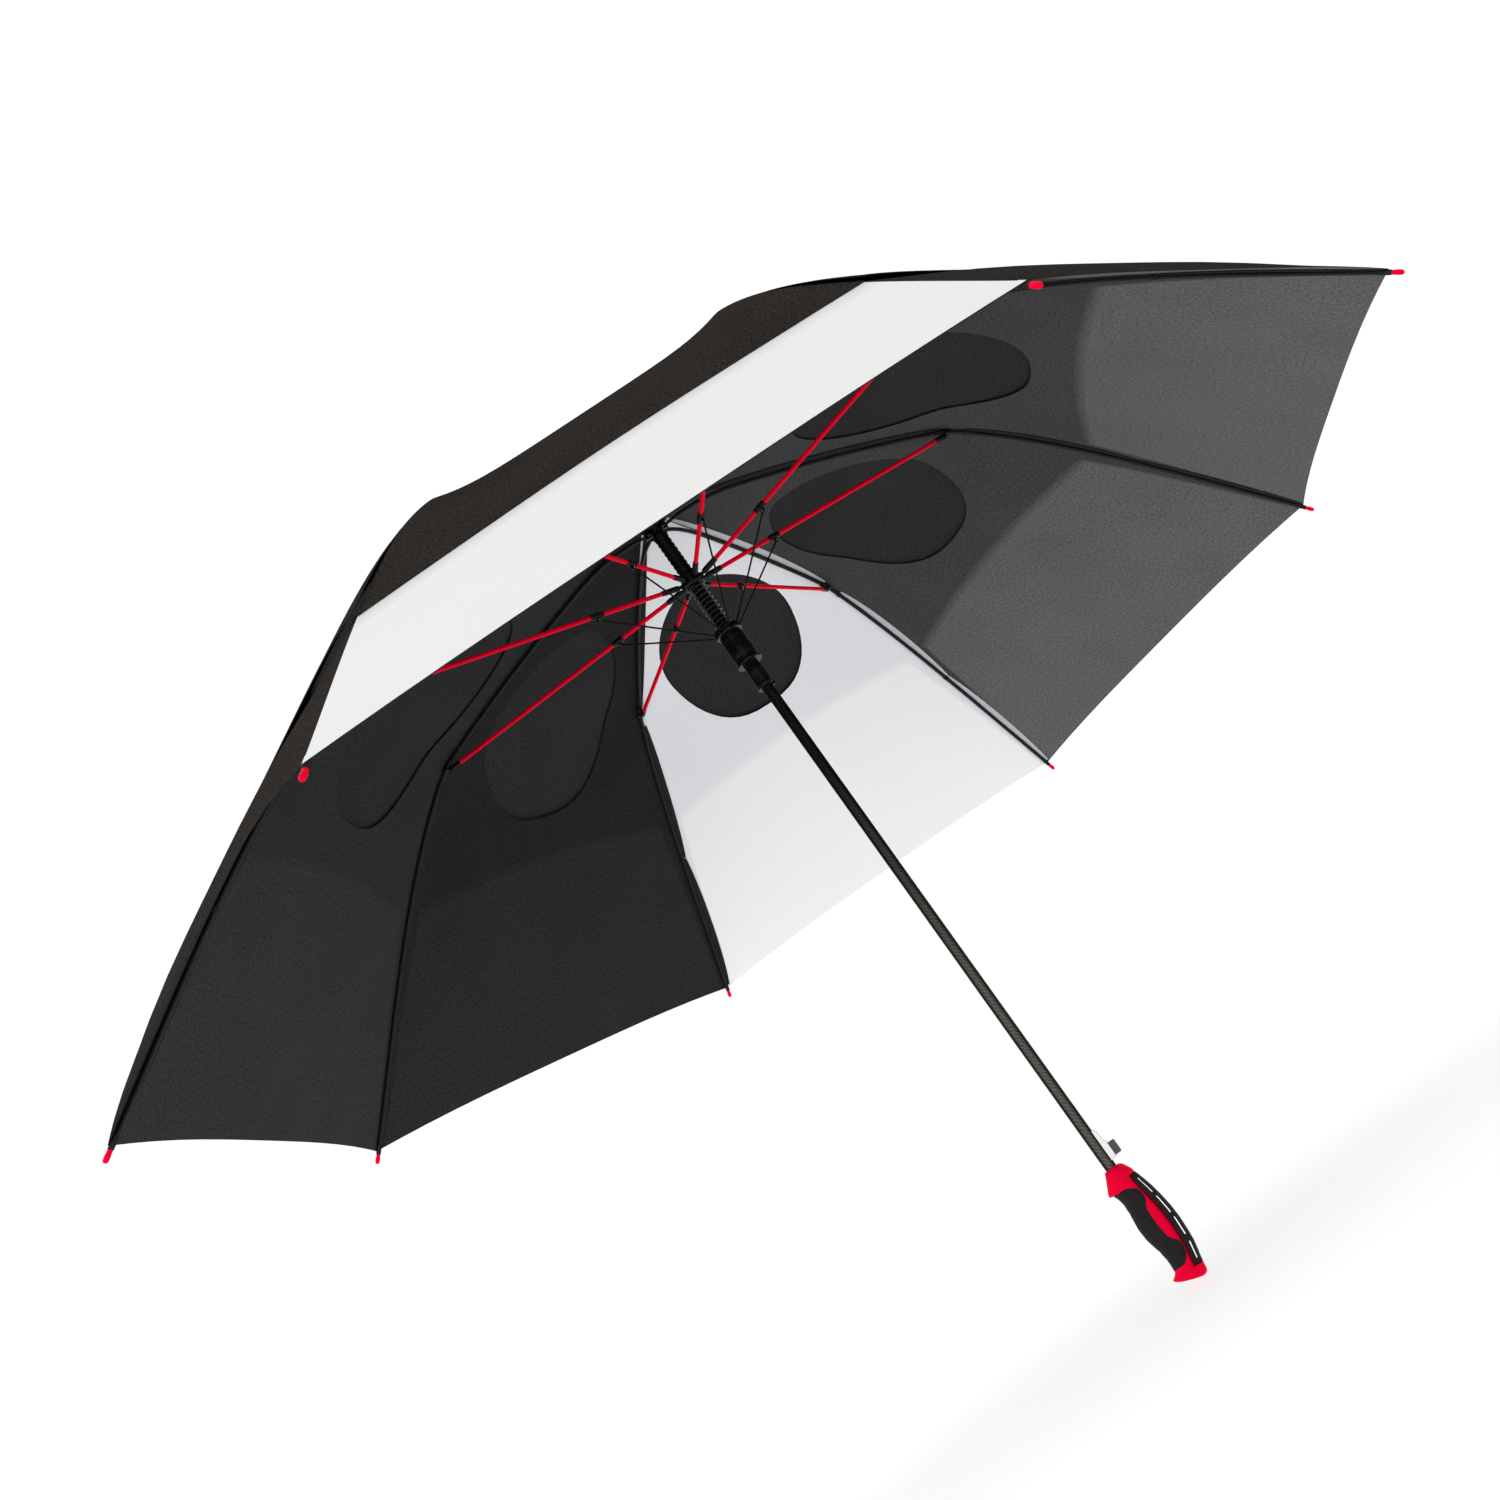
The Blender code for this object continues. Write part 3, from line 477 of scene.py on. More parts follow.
def add_tube(shape, outline, look, sides=40):
    """A closed outline of (radius, z) turned round the shaft's axis."""
    points, uvs = [], []
    for j in range(sides):
        turn = 2 * pi * j / sides
        for r, z in outline:
            points.append((r * cos(turn), r * sin(turn), z))
            uvs.append((SHAFT_RADIUS * turn * MM, z * MM))
    shape.add(points, wrapped_faces(sides, len(outline)), look, uvs)


def add_split_tube(shape, outline, look, half, sides=40):
    """A turned tube with a parallel slot, twice half wide, along its back."""
    points = []
    for i in range(sides + 1):
        for radius, z in outline:
            first = acos(half / radius)
            a = first - i / sides * (pi + 2 * first)
            points.append((radius * cos(a), radius * sin(a), z))
    shape.add(points, ring_faces(sides + 1, len(outline)), look)


def add_pin(shape, x, z, radius, half, look, sides=12):
    """A pin across a rib's plane, with a slightly domed head at each end."""
    path = []
    for y, share in ((-half, 0.7), (-half + 0.4, 1), (half - 0.4, 1), (half, 0.7)):
        path.append(((x, y, z), radius * share))
    add_rod(shape, path, look, sides)


# ---- canopy cloth
def vent_half(u):
    """Half width of the egg-shaped vent, u out along the middle of a panel."""
    c = (VENT_MIDDLE - u) / VENT_REACH
    if abs(c) >= 1:
        return 0.0
    along = (1 - c) / 2
    widest = 1.94  # brings the curve's own peak up to one
    return VENT_HALF * widest * along**0.60 * (1 - along) ** 0.38


def spread_between(a, b, step):
    """Even places from a up to b, about a step apart, without b itself."""
    count = max(int(round(abs(b - a) / step)), 1)
    return [a + (b - a) * i / count for i in range(count)]


def lower_rows(outer):
    """Distances from the shaft at which the lower cloth has a row, denser at the vent's ends."""
    bend = BRACKET_RADIUS * cos(HALF)
    hem = HEM_RADIUS * cos(HALF)
    egg = [VENT_MIDDLE - VENT_REACH * cos(pi * i / 28) for i in range(29)]
    if not outer:
        rows = spread_between(INNER_EDGE * cos(HALF), VENT_NEAR, 16)
        return rows + [u for u in egg if u < bend - 3] + [bend]
    rows = [bend] + [u for u in egg if u > bend + 3]
    return rows + spread_between(VENT_FAR + 8, hem - 7, 12) + [hem - 7, hem - 6.5, hem]


def side_shares(width, gap):
    """Where the columns lie between a rib (0) and the middle of the panel or the vent's edge (1)."""
    cloth = max(width - gap, 0.01)
    edge = min(4.5 / cloth, 0.3)
    columns = [0, 0.04, 0.12, 0.25, 0.4, 0.55, 0.7, 0.85]
    return [c * (1 - edge) for c in columns] + [1 - edge, 1 - edge * 0.9, 1]


def to_row(k, u, v, z):
    """A point given along and across panel k, in the row frame."""
    a = azimuth(k) + HALF
    return (u * cos(a) - v * sin(a), u * sin(a) + v * cos(a), z)


def cloth_sheet(rows, look_in, look_out, rim_look):
    """A closed sheet from rows of (point, thickness, uv)."""
    shape = Shape()
    size, count = len(rows[0]), len(rows)
    under, over, uvs = [], [], []
    for row in rows:
        for point, thickness, uv in row:
            under.append(Vector(point))
            over.append(Vector(point) + Vector((0, 0, thickness)))
            uvs.append(uv)
    total = count * size
    inside, outside = [], []
    for i in range(count - 1):
        for j in range(size - 1):
            a, b, c, d = i * size + j, i * size + j + 1, (i + 1) * size + j + 1, (i + 1) * size + j
            inside.append((a, b, c, d))
            outside.append((total + d, total + c, total + b, total + a))
    rim = list(range(size)) + [i * size + size - 1 for i in range(1, count)]
    rim += [(count - 1) * size + j for j in range(size - 2, -1, -1)]
    rim += [i * size for i in range(count - 2, 0, -1)]
    edges = [(b, a, total + a, total + b) for a, b in zip(rim, rim[1:] + rim[:1])]
    shape.add(under + over, inside, look_in, uvs + uvs)
    for look, faces in ((look_out, outside), (rim_look, edges)):
        shape.faces += faces
        shape.slots += [shape.slot(look)] * len(faces)
    return shape


def panel_looks(panel):
    """Looks of a lower panel from under the canopy and from above it."""
    if panel in WHITE_PANELS:
        return "white_in", "white_out"
    # lit, dim and shaded copies of the charcoal inside, painted by panel as the light falls
    inside = "lit_in" if panel in LIT_PANELS else "dim_in" if panel == 7 else "dark_in"
    return inside, "black_out"


def gather(obj):
    """Give half a panel a mesh of its own."""
    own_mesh(obj)


def half_panel(k, side, outer, canopy, rows, looks):
    """Make one half panel beside rib k: the one before the rib (side -1) or after it (side 1)."""
    shape = cloth_sheet(rows, *looks, "black_bind")
    name = f"{canopy}_cloth_{'outer' if outer else 'inner'}_{k}{'a' if side < 0 else 'b'}"
    slot = "white_fabric" if looks[0] == "white_in" else "black_fabric"
    obj = shape.piece(name, f"rib_end_{k}" if outer else f"rib_{k}", slot=slot)
    if side > 0 and not outer:
        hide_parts(f"{canopy}_panel_{k}")
    gather(obj)


def panel_beside(k, side):
    """The panel after rib k (side 1) or before it (side -1)."""
    return k if side > 0 else (k - 2) % RIB_COUNT + 1


def cloth_point(panel, side, u, v, z, hemmed):
    """A point of the sheet, the cloth's thickness there, and its UV."""
    return to_row(panel, u, -side * v, z), HEM_THICKNESS if hemmed else CLOTH, (u * MM, -side * v * MM)


def lower_cloth(k, side, outer):
    """Half a panel of the lower canopy, from rib k to the panel's middle, its vent left open."""
    panel = panel_beside(k, side)
    hem = HEM_RADIUS * cos(HALF)
    rows = []
    for u in lower_rows(outer):
        width, gap = u * tan(HALF), vent_half(u)
        row = []
        for share in side_shares(width, gap)[::side]:
            v = width - share * (width - gap)
            t = v / max(width, 0.01)
            pull = HEM_SCALLOP * (1 - t**3) * max((u - 600) / (hem - 600), 0) ** 2 if outer else 0
            along = u - pull
            z = canopy_height(along / cos(HALF)) + lower_drape(panel, u, t)
            vent_edge = gap > 1 and share > 0.99 - 4.6 / max(width - gap, 5)
            hemmed = vent_edge or (outer and u > hem - 6.8)
            row.append(cloth_point(panel, side, along, v, z, hemmed))
        rows.append(row)
    half_panel(k, side, outer, "lower", rows, panel_looks(panel))


def upper_cloth(k, side, outer):
    """Half a panel of the upper canopy, which ends in a scalloped hem over the vents."""
    panel = panel_beside(k, side)
    bend, hem = BRACKET_RADIUS * cos(HALF), UPPER_HEM_RADIUS * cos(HALF)
    if outer:
        levels = spread_between(bend, hem - 8, 10) + [hem - 8, hem - 7.4, hem]
    else:
        levels = spread_between(INNER_EDGE * cos(HALF), bend, 13) + [bend]
    shares = [0, 0.02, 0.06, 0.12, 0.2, 0.3, 0.42, 0.55, 0.7, 0.85, 1]
    rows = []
    for u in levels:
        row = []
        for share in shares[::side]:
            t = 1 - share
            along = u - UPPER_SCALLOP * (1 - t * t) * max((u - 300) / (hem - 300), 0) ** 3
            z = canopy_height(along / cos(HALF)) + UPPER_LIFT + upper_drape(panel, along, t)
            row.append(cloth_point(panel, side, along, u * tan(HALF) * t, z, outer and u > hem - 7.7))
        rows.append(row)
    half_panel(k, side, outer, "upper", rows, ("black_under", "black_out"))


# ---- seams, ties and bindings
TIE_RADII = (402.0, 578.0)


def seam_strip(k, low, high, body, name):
    """The folded seam allowance beside a rib, under the cloth: it bulges out between two ties."""
    section = ((0, 0.4), (0.5, 0.5), (1, 0.6), (1, 1.5), (0.75, 2.3), (0.5, 1.7), (0.25, 2.3), (0, 1.6))
    white = k in WHITE_PANELS
    shape = Shape()
    count = max(int((high - low) / 14), 4)
    points, uvs = [], []
    for i in range(count + 1):
        s = i / count
        r = low + (high - low) * s
        width = 1.2 + 7.0 * sin(pi * min(max(s, 0.02), 0.98)) ** 0.45
        for share, below in section:
            y = -2.4 - width * share
            u = r * cos(HALF) - y * sin(HALF)
            t = (r * sin(HALF) + y * cos(HALF)) / (u * tan(HALF))
            cloth = canopy_height(u / cos(HALF)) + lower_drape(panel_beside(k, -1), u, t)
            points.append((r, y, cloth - below))
            uvs.append((r * MM, y * MM))
    shape.add(points, ring_faces(count + 1, len(section)), "white_bind" if white else "black_bind", uvs)
    shape.turned(azimuth(k))
    shape.piece(name, body, slot="white_fabric" if white else "black_fabric", smooth=60)


# ---- ribs, struts and wires
def on_rib(stations, side=0.0):
    """Stations of (radius from the shaft, rod radius) set on the rib's curve."""
    return [((x, side, rib_height(x)), r) for x, r in stations]


def inner_rib(k):
    """Black rod from the crown to the bracket, which is moulded on and carries the strut's tab."""
    shape = Shape()
    stations = [(18, 1.6), (24, 1.7), (29, 1.9), (33, 2.3)]
    stations += [(x, 2.3) for x in (45, 60, 80, 100, 130, 170, 210, 250, 290, 330, 366)]
    add_rod(shape, [((HINGE_RADIUS, 0, CROWN_Z), 1.5), *on_rib(stations)], "black_rod", 14)
    add_pin(shape, HINGE_RADIUS, CROWN_Z, 2.1, 1.4, "black_plastic")
    bracket = BRACKET_RADIUS
    sleeve = [(bracket - 12, 2.6), (bracket - 11, 3.1), (bracket - 3, 3.2), (bracket + 2, 3.0)]
    add_rod(shape, on_rib(sleeve), "black_plastic", 14, flat=(1.2, 0.9))
    for side in (-1, 1):
        lobe = []
        for past, aside, radius in ((-2, 3.2, 1.0), (4, 3.3, 1.1), (7.5, 3.2, 0.8)):
            lobe += on_rib([(bracket + past, radius)], side * aside)
        add_rod(shape, lobe, "black_plastic", 10, flat=(0.6, 1.7))
    tab = [(rib_height(bracket) - 1, 2.3), (BRACKET_Z, 2.2), (BRACKET_Z - 1.9, 1.2)]
    add_rod(shape, [((bracket, 0, z), r) for z, r in tab], "black_plastic", 12, flat=(0.4, 1.0))
    shape.turned(azimuth(k))
    shape.piece(f"inner_rib_look_{k}", f"rib_{k}", nodes=[f"rib_inner_{k}"], slot="black_rib")


def outer_rib(k):
    """Black rod from the bracket to the red tip cap, with the two ties that hold the cloth to it."""
    shape = Shape()
    start = BRACKET_RADIUS + 5.0
    first = rib_height(BRACKET_RADIUS) - 2.1
    rod = [395, 410, 430, 455, 480, 510, 540, 570, 600, 630, 660, 690, 715, ROD_END]
    path = [((start, 0, first), 1.9), ((start + 5, 0, first - 2.6), 2.1), *on_rib([(x, 2.3) for x in rod])]
    add_rod(shape, path, "black_rod", 14)
    add_pin(shape, start, first, 2.0, 2.3, "black_plastic")
    for r in TIE_RADII:
        for shift in (-1.4, 1.4):
            wrap = []
            for d, radius in ((-1.3, 2.5), (-0.8, 3.1), (0.8, 3.1), (1.3, 2.5)):
                x = r + shift + d
                wrap.append(((x, 0, rib_height(x) + 0.4), radius))
            add_rod(shape, wrap, "black_bind", 12)
    drop = (rib_height(ROD_END) - rib_height(ROD_END + 10)) / 10
    sleeve = ((0, 2.4), (3, 2.6), (7, 2.7), (10, 2.6))
    cap = ((10.2, 2.3), (13, 2.3), (13.6, 2.6), (17.4, 2.5), (18.6, 1.9), (19.0, 0.7))
    for stations, look, sides in ((sleeve, "black_bind", 16), (cap, "red_plastic", 18)):
        path = [((ROD_END + x, 0, rib_height(ROD_END) - drop * x), r) for x, r in stations]
        add_rod(shape, path, look, sides)
    shape.turned(azimuth(k))
    shape.piece(f"outer_rib_look_{k}", f"rib_end_{k}", nodes=[f"rib_outer_{k}"], slot="black_rib")


def strut_point(along, below=0.0):
    """A point along a strut from its pin at the hub, and below its axis."""
    reach, rise = BRACKET_RADIUS - HINGE_RADIUS, BRACKET_Z - HUB_Z
    arm = hypot(reach, rise)
    x = HINGE_RADIUS + along * reach / arm + below * rise / arm
    return (x, 0, HUB_Z + along * rise / arm - below * reach / arm)


def strut(k):
    """Red rod with its hub socket, wire clamp and fork."""
    arm = hypot(BRACKET_RADIUS - HINGE_RADIUS, BRACKET_Z - HUB_Z)
    shape = Shape()

    def run(stations, look, sides=16, flat=(1, 1), start=0.0):
        add_rod(shape, [(strut_point(start + a), r) for a, r in stations], look, sides, flat)

    run([(a, 2.4) for a in (20, 60, 95, 140, 200, 280, arm - 16)], "red_rod")
    run([(1, 1.9), (6, 2.0)], "black_plastic", 12, flat=(0.75, 1))
    run([(5.5, 2.2), (6.6, 3.1), (9, 3.3), (23, 3.1), (26, 2.9), (26.6, 2.4)], "black_plastic")
    clamp = [(2.5, 3.6), (2.8, 3.3), (7.2, 3.3), (7.6, 2.5)]
    run([(-a, r) for a, r in clamp[::-1]] + clamp, "black_plastic", start=CLAMP_REACH)
    fork = [(-18.5, 2.5), (-18, 3.2), (-12, 3.3), (-7.5, 3.0)]
    run(fork, "black_plastic", flat=(1.1, 0.9), start=arm)
    hub = strut_point(0)
    add_pin(shape, hub[0], hub[2], 2.0, 1.5, "black_plastic")
    pin = strut_point(CLAMP_REACH, PIN_DROP)
    neck = strut_point(CLAMP_REACH, 1.5)
    for side in (-0.95, 0.95):
        ear = [((neck[0], side, neck[2]), 2.6), ((pin[0], side, pin[2]), 2.2)]
        ear.append(((pin[0] - 0.1, side, pin[2] - 1.8), 1.1))
        add_rod(shape, ear, "black_plastic", 12, flat=(0.3, 1.0))
    add_pin(shape, pin[0], pin[2], 0.9, 2.3, "pin_steel")
    for side in (-1, 1):
        cheek = []
        for a, r in ((-11, 2.3), (-4, 2.3), (0, 2.3), (1.9, 1.3)):
            x, _, z = strut_point(arm + a)
            cheek.append(((x, side * 2.25, z), r))
        add_rod(shape, cheek, "black_plastic", 12, flat=(0.45, 1.0))
    add_pin(shape, BRACKET_RADIUS, BRACKET_Z, 1.1, 3.9, "pin_steel")
    shape.turned(azimuth(k))
    shape.piece(f"strut_look_{k}", f"strut_{k}", nodes=[f"stretcher_{k}"], slot="red_fibreglass")


def tie_wire(k):
    """Wire with an eye at the clamp's pin and a bent foot in the ring's notch."""
    shape = Shape()
    pin = Vector(strut_point(CLAMP_REACH, PIN_DROP))
    foot = Vector((WIRE_RING_RADIUS, 0, RING_Z))
    along = (foot - pin).normalized()
    path = [(pin + along * s, 1.0) for s in (2.0, 4, 30, 60, 90)] + [(foot - along * 3, 1.0), (foot, 1.0)]
    add_rod(shape, path, "black_steel", 10)
    eye = []
    for i in range(15):
        turn = 2 * pi * i / 14
        eye.append((pin + Vector((1.75 * cos(turn), 0, 1.75 * sin(turn))), 0.5))
    add_rod(shape, eye, "black_steel", 8)
    add_rod(shape, [((foot.x, -1.4, foot.z), 0.8), ((foot.x, 1.4, foot.z), 0.8)], "black_steel", 8)
    shape.turned(azimuth(k))
    shape.piece(f"tie_wire_look_{k}", f"tie_{k}", nodes=[f"wire_{k}"], slot="black_steel")


# ---- shaft, hubs and spring
def raised(outline, z):
    """An outline of (radius, height) lifted by z."""
    return [(radius, z + up) for radius, up in outline]


def shaft():
    shape = Shape()
    outline = [(SHAFT_RADIUS, 66), (SHAFT_RADIUS, 1000.4), (5.6, 1001), (5.0, 1001), (5.0, 66)]
    add_tube(shape, outline, "carbon", 48)
    shape.piece("shaft_look", "frame", nodes=["shaft_tube"], slot="carbon_shaft", smooth=30)


def stop_sleeve():
    """Sleeve under the crown with eight ridges."""
    shape = Shape()
    low, high = HUB_Z + 11, CROWN_Z - 9
    outline = [(6.5, high), (6.5, low), (8.3, low), (8.6, low + 0.6), (8.6, low + 2.8)]
    pitch = (high - low - 6) / 8
    for i in range(8):
        z = low + 3 + i * pitch
        outline += [(7.5, z + 0.5), (7.5, z + pitch * 0.45), (8.2, z + pitch * 0.6), (8.2, z + pitch * 0.9)]
    outline += [(8.6, high - 2.6), (8.6, high - 0.6), (8.3, high)]
    add_tube(shape, outline, "black_plastic", 36)
    shape.piece("stop_sleeve_look", "frame", nodes=["stop_sleeve"], slot="black_plastic", smooth=50)


def ferrule():
    """Weather cap on the crown with the stem and the rounded tip over it."""
    shape = Shape()
    seat = 1010.0
    stem = [(20.2, 0), (21, 0.7), (21, 1.6), (19, 3.6), (14, 5.6), (8.6, 7), (7.2, 8.4), (6.5, 12), (5.9, 24),
            (5.9, 25), (5.4, 25.6), (5.4, 27), (5.8, 27.6), (5.2, 49), (4.6, 52), (3.0, 54.4), (0.7, 55)]
    add_lathe(shape, [(0.7, 962), (4.6, 962), (4.6, seat), *raised(stem, seat)], "black_plastic", 40)
    shape.piece("ferrule_look", "frame", nodes=["ferrule"], slot="black_plastic", smooth=35)


def toothed_ring(shape, bore, root, outer, low, high, half_angle):
    """A black ring whose rim is cut into one slot per rib between low and high."""
    angles = []
    pitch, edge, steps = 2 * pi / RIB_COUNT, radians(0.8), 4
    for k in range(RIB_COUNT):
        centre = FIRST_RIB_AZIMUTH + k * pitch
        angles += [(centre - half_angle + edge, root), (centre, root), (centre + half_angle - edge, root)]
        for i in range(steps + 1):
            angles.append((centre + half_angle + (pitch - 2 * half_angle) * i / steps, outer))
    points = []
    for angle, radius in angles:
        section = ((bore, low), (radius - 0.4, low), (radius, low + 0.4))
        section += ((radius, high - 0.4), (radius - 0.4, high), (bore, high))
        points += [(r * cos(angle), r * sin(angle), z) for r, z in section]
    shape.add(points, wrapped_faces(len(angles), 6), "black_plastic")


def crown_notch():
    shape = Shape()
    toothed_ring(shape, 6.5, 8.7, 14, CROWN_Z - 6, CROWN_Z + 4.6, radians(12.5))
    foot = raised([(6.5, 4.6), (13.8, 4.8), (14.2, 7.8)], CROWN_Z)
    add_tube(shape, foot + [(16, 1000.5), (15.6, 1002.5), (6.5, 1002.5)], "black_plastic")
    shape.piece("crown_notch_look", "frame", nodes=["crown_notch"], slot="black_plastic", smooth=35)


def upper_hub():
    """Runner whose slots hold the struts, between a foot and a neck."""
    shape = Shape()
    foot = [(6.7, -5.5), (12.0, -5.5), (12.6, -4.9), (13.6, -3.1), (8.8, -2.9), (6.7, -2.9)]
    add_tube(shape, raised(foot, HUB_Z), "black_plastic")
    toothed_ring(shape, 6.7, 8.7, 14, HUB_Z - 3.0, HUB_Z + 4.5, radians(13.5))
    neck = [(6.7, 4.3), (8.8, 4.5), (8.8, 8.5), (8.3, 9), (6.7, 9)]
    add_tube(shape, raised(neck, HUB_Z), "black_plastic")
    shape.piece("upper_hub_look", "upper_runner", nodes=["upper_hub"], slot="black_plastic", smooth=35)


def lower_hub():
    """Runner with the notched ring for the tie wires, a thick body, and a collar slotted at the back."""
    shape = Shape()
    slot_half = 4.7
    body_end, collar_end = RING_Z - 44.5, RING_Z - 76.6
    toothed_ring(shape, 6.7, 11.8, 15.6, RING_Z - 3.6, RING_Z + 3, radians(6.5))
    throat = [(6.7, -12), (13.4, -12), (13.2, -8), (12.4, -6.2), (12.4, -5), (14.6, -4), (14.6, -3.5)]
    throat.append((6.7, -3.5))
    add_tube(shape, raised(throat, RING_Z), "black_plastic")
    foot = [(6.7, 0), (14.2, 0), (14.8, 0.6), (14.8, 2.6), (14.2, 3.4), (13.0, 4.2), (13.0, 9.5), (13.35, 10)]
    top = [(13.35, -14.5), (13.0, -13.9), (13.4, -12), (6.7, -12)]
    add_tube(shape, raised(foot, body_end) + raised(top, RING_Z), "black_plastic", 48)
    collar = [(7.0, 0), (10.1, 0), (10.6, 0.5), (10.6, 3.0), (9.9, 3.8), (9.1, 4.4), (9.1, 20), (9.4, 20.6),
              (9.4, 22.4), (9.0, 23)]
    collar = raised(collar, collar_end) + [(9.0, body_end), (7.0, body_end)]
    add_split_tube(shape, collar, "black_plastic", slot_half)
    rim = [(10.1, 1.1), (10.7, 1.3), (10.7, 2.1), (10.1, 2.3)]
    add_split_tube(shape, raised(rim, collar_end), "polished_rim", slot_half)
    for radius, z in ((14.8, body_end + 1.5), (14.6, RING_Z - 3.8)):
        band = [(radius - 0.5, -0.6), (radius + 0.1, -0.4), (radius + 0.1, 0.4), (radius - 0.5, 0.6)]
        add_tube(shape, raised(band, z), "polished_rim", 48)
    shape.piece("lower_hub_look", "lower_runner", nodes=["lower_hub"], slot="black_plastic", smooth=35)


def hub_spring():
    """Coil between the two runners."""
    shape = Shape()
    wire, radius, turns = 1.0, 8.9, 11
    low, high = RING_Z + 3.3, HUB_Z - 5.8
    steps = turns * 26
    path = []
    for i in range(steps + 1):
        a = 2 * pi * turns * i / steps
        rise = min(max((i / steps - 0.05) / 0.9, 0), 1)
        z = low + wire + (high - low - 2 * wire) * rise
        path.append(((radius * cos(a), radius * sin(a), z), wire))
    add_rod(shape, path, "spring_wire", 9)
    obj = shape.piece("hub_spring_look", "upper_runner", nodes=["hub_spring"], slot="black_steel", smooth=60)
    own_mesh(obj)


# ---- handle: each table gives (height, value)
FRONT = ((0, 11.5), (3, 14.5), (6, 15.2), (10, 13.0), (17, 9.2), (24, 8.0), (34, 7.8), (46, 9.8), (61, 13.2),
         (74, 13.8), (88, 12.1), (102, 11.1), (110, 12.6), (115, 15.0), (116, 19.0), (119, 18.6), (128, 13.8),
         (136, 9.8), (HANDLE_TOP, 8.5))
BACK = ((0, 15.0), (3, 18.8), (6, 20.0), (10, 20.6), (17, 22.0), (24, 23.8), (34, 26.0), (46, 27.2),
        (61, 27.9), (74, 27.4), (88, 25.9), (102, 23.4), (110, 21.4), (116, 19.8), (123, 17.8), (128, 16.6),
        (136, 12.4), (HANDLE_TOP, 8.8))
WIDTH = ((0, 11), (3, 13.5), (6, 14.3), (10, 13.6), (17, 12.2), (46, 12.6), (88, 12.2), (110, 12.8),
         (116, 13.8), (119, 14.2), (128, 13.6), (136, 12.0), (HANDLE_TOP, 9.6))
STRAP_INNER = ((13, 13.0), (24, 14.8), (34, 16.6), (46, 17.8), (61, 18.6), (74, 18.2), (88, 16.9),
               (102, 14.6), (110, 13.2), (116, 12.3), (123, 11.8))
RUBBER_EDGE = ((21, 4.5), (24, 9.5), (28, 12.4), (34, 13.8), (42, 14.2), (46, 12.0), (51, 7.6), (61, 6.4),
               (74, 5.8), (88, 6.6), (93, 10.4), (98, 11.6), (105, 11.2), (110, 8.8), (115, 4.0))
BODY_LEVELS = (34, 40, 46, 53, 61, 68, 74, 81, 88, 95, 102, 106)
GRIP_LOW, GRIP_HIGH = 21.0, 114.5
STRAP_LOW, STRAP_HIGH = 13.0, 123.0
STRAP_SLOTS = ((17.5, 36), (43, 64), (69, 91), (96, 116))
SLOT_MARGIN = 0.36  # share of the strap's depth on each side of a slot
SLANT_SLOPE, SLANT_TOP, SLANT_FOOT = 0.364, 20.0, 14.71  # the butt's cut, fading out at SLANT_TOP
SQUARE_POWER = 2.3  # 2 would make the handle's sections round
HOUSING_LOW, HOUSING_HIGH = 145.0, 164.2


def between(table, z):
    """Value of a table at the height z, on the straight line between its points."""
    for (z0, v0), (z1, v1) in zip(table, table[1:]):
        if z <= z1:
            return v0 + (v1 - v0) * max(z - z0, 0) / (z1 - z0)
    return table[-1][1]


def smooth_between(table, z):
    """Like between, with the corners of the table eased."""
    near = [min(max(z + d, table[0][0]), table[-1][0]) for d in (-2.4, -1.2, 0, 1.2, 2.4)]
    return sum(between(table, place) for place in near) / 5


def slanted(y, z):
    """Height of a point of the handle once its foot is cut off at a slant."""
    return z + SLANT_SLOPE * max(1 - z / SLANT_TOP, 0) * (SLANT_FOOT - y)


def squareness(a):
    """Reach of a superellipse, squarer than a circle, in the direction a."""
    return (abs(cos(a)) ** SQUARE_POWER + abs(sin(a)) ** SQUARE_POWER) ** (-1 / SQUARE_POWER)


def handle_ring(z, front, back, width, sides=48):
    """A rounded section whose foot is cut off at a slant, lowest at the back."""
    ring = []
    for i in range(sides):
        a = 2 * pi * i / sides
        norm = squareness(a)
        y = (front if sin(a) < 0 else back) * sin(a) * norm
        ring.append((width * cos(a) * norm, y, slanted(y, z)))
    return ring


def handle_core():
    """Red body: flared butt, core between the rubbers, faceted collar with its lip."""
    shape = Shape()
    levels = [0, 0.7, 3, 6, 8, 10, 12.6, 12.7, 14, 17, 20.7, 20.8, 24, 29, *BODY_LEVELS, 110]
    levels += [GRIP_HIGH + 0.2, GRIP_HIGH + 0.3, 115.6, 116, 119, STRAP_HIGH + 0.2, STRAP_HIGH + 0.3]
    levels += [128, 132, 136, 138.4, HANDLE_TOP]
    rings = []
    for z in levels:
        rubber = GRIP_LOW - 0.25 < z < GRIP_HIGH + 0.25
        front = between(FRONT, z) - (2.4 if rubber else 0)
        back = between(BACK, z)
        if 12.65 < z < STRAP_HIGH + 0.25:
            back = between(STRAP_INNER, z) - 0.15
        inset = 0.6 if z in (0, HANDLE_TOP) else 0
        rings += handle_ring(z, front - inset, back - inset, between(WIDTH, z) - (0.5 if rubber else inset))
    shape.add(rings, ring_faces(len(levels), 48), "red_plastic")
    for side in (-1, 1):
        add_collar_rib(shape, side)
    shape.piece("handle_look", "frame", nodes=["handle_body"], slot="red_plastic", smooth=38)


def add_collar_rib(shape, side):
    """Moulded rib that runs up from the collar's lip over one side."""
    path = []
    for y, z in ((-15.5, 116.6), (-8, 119.8), (0, 123.2), (8, 126.6), (13.5, 129.2)):
        depth = between(FRONT if y < 0 else BACK, z)
        reach = between(WIDTH, z) * max(1 - abs(y / depth) ** SQUARE_POWER, 0.0) ** (1 / SQUARE_POWER)
        path.append(((side * (reach + 0.05), y, z), 0.55))
    add_rod(shape, path, "red_plastic", 8)


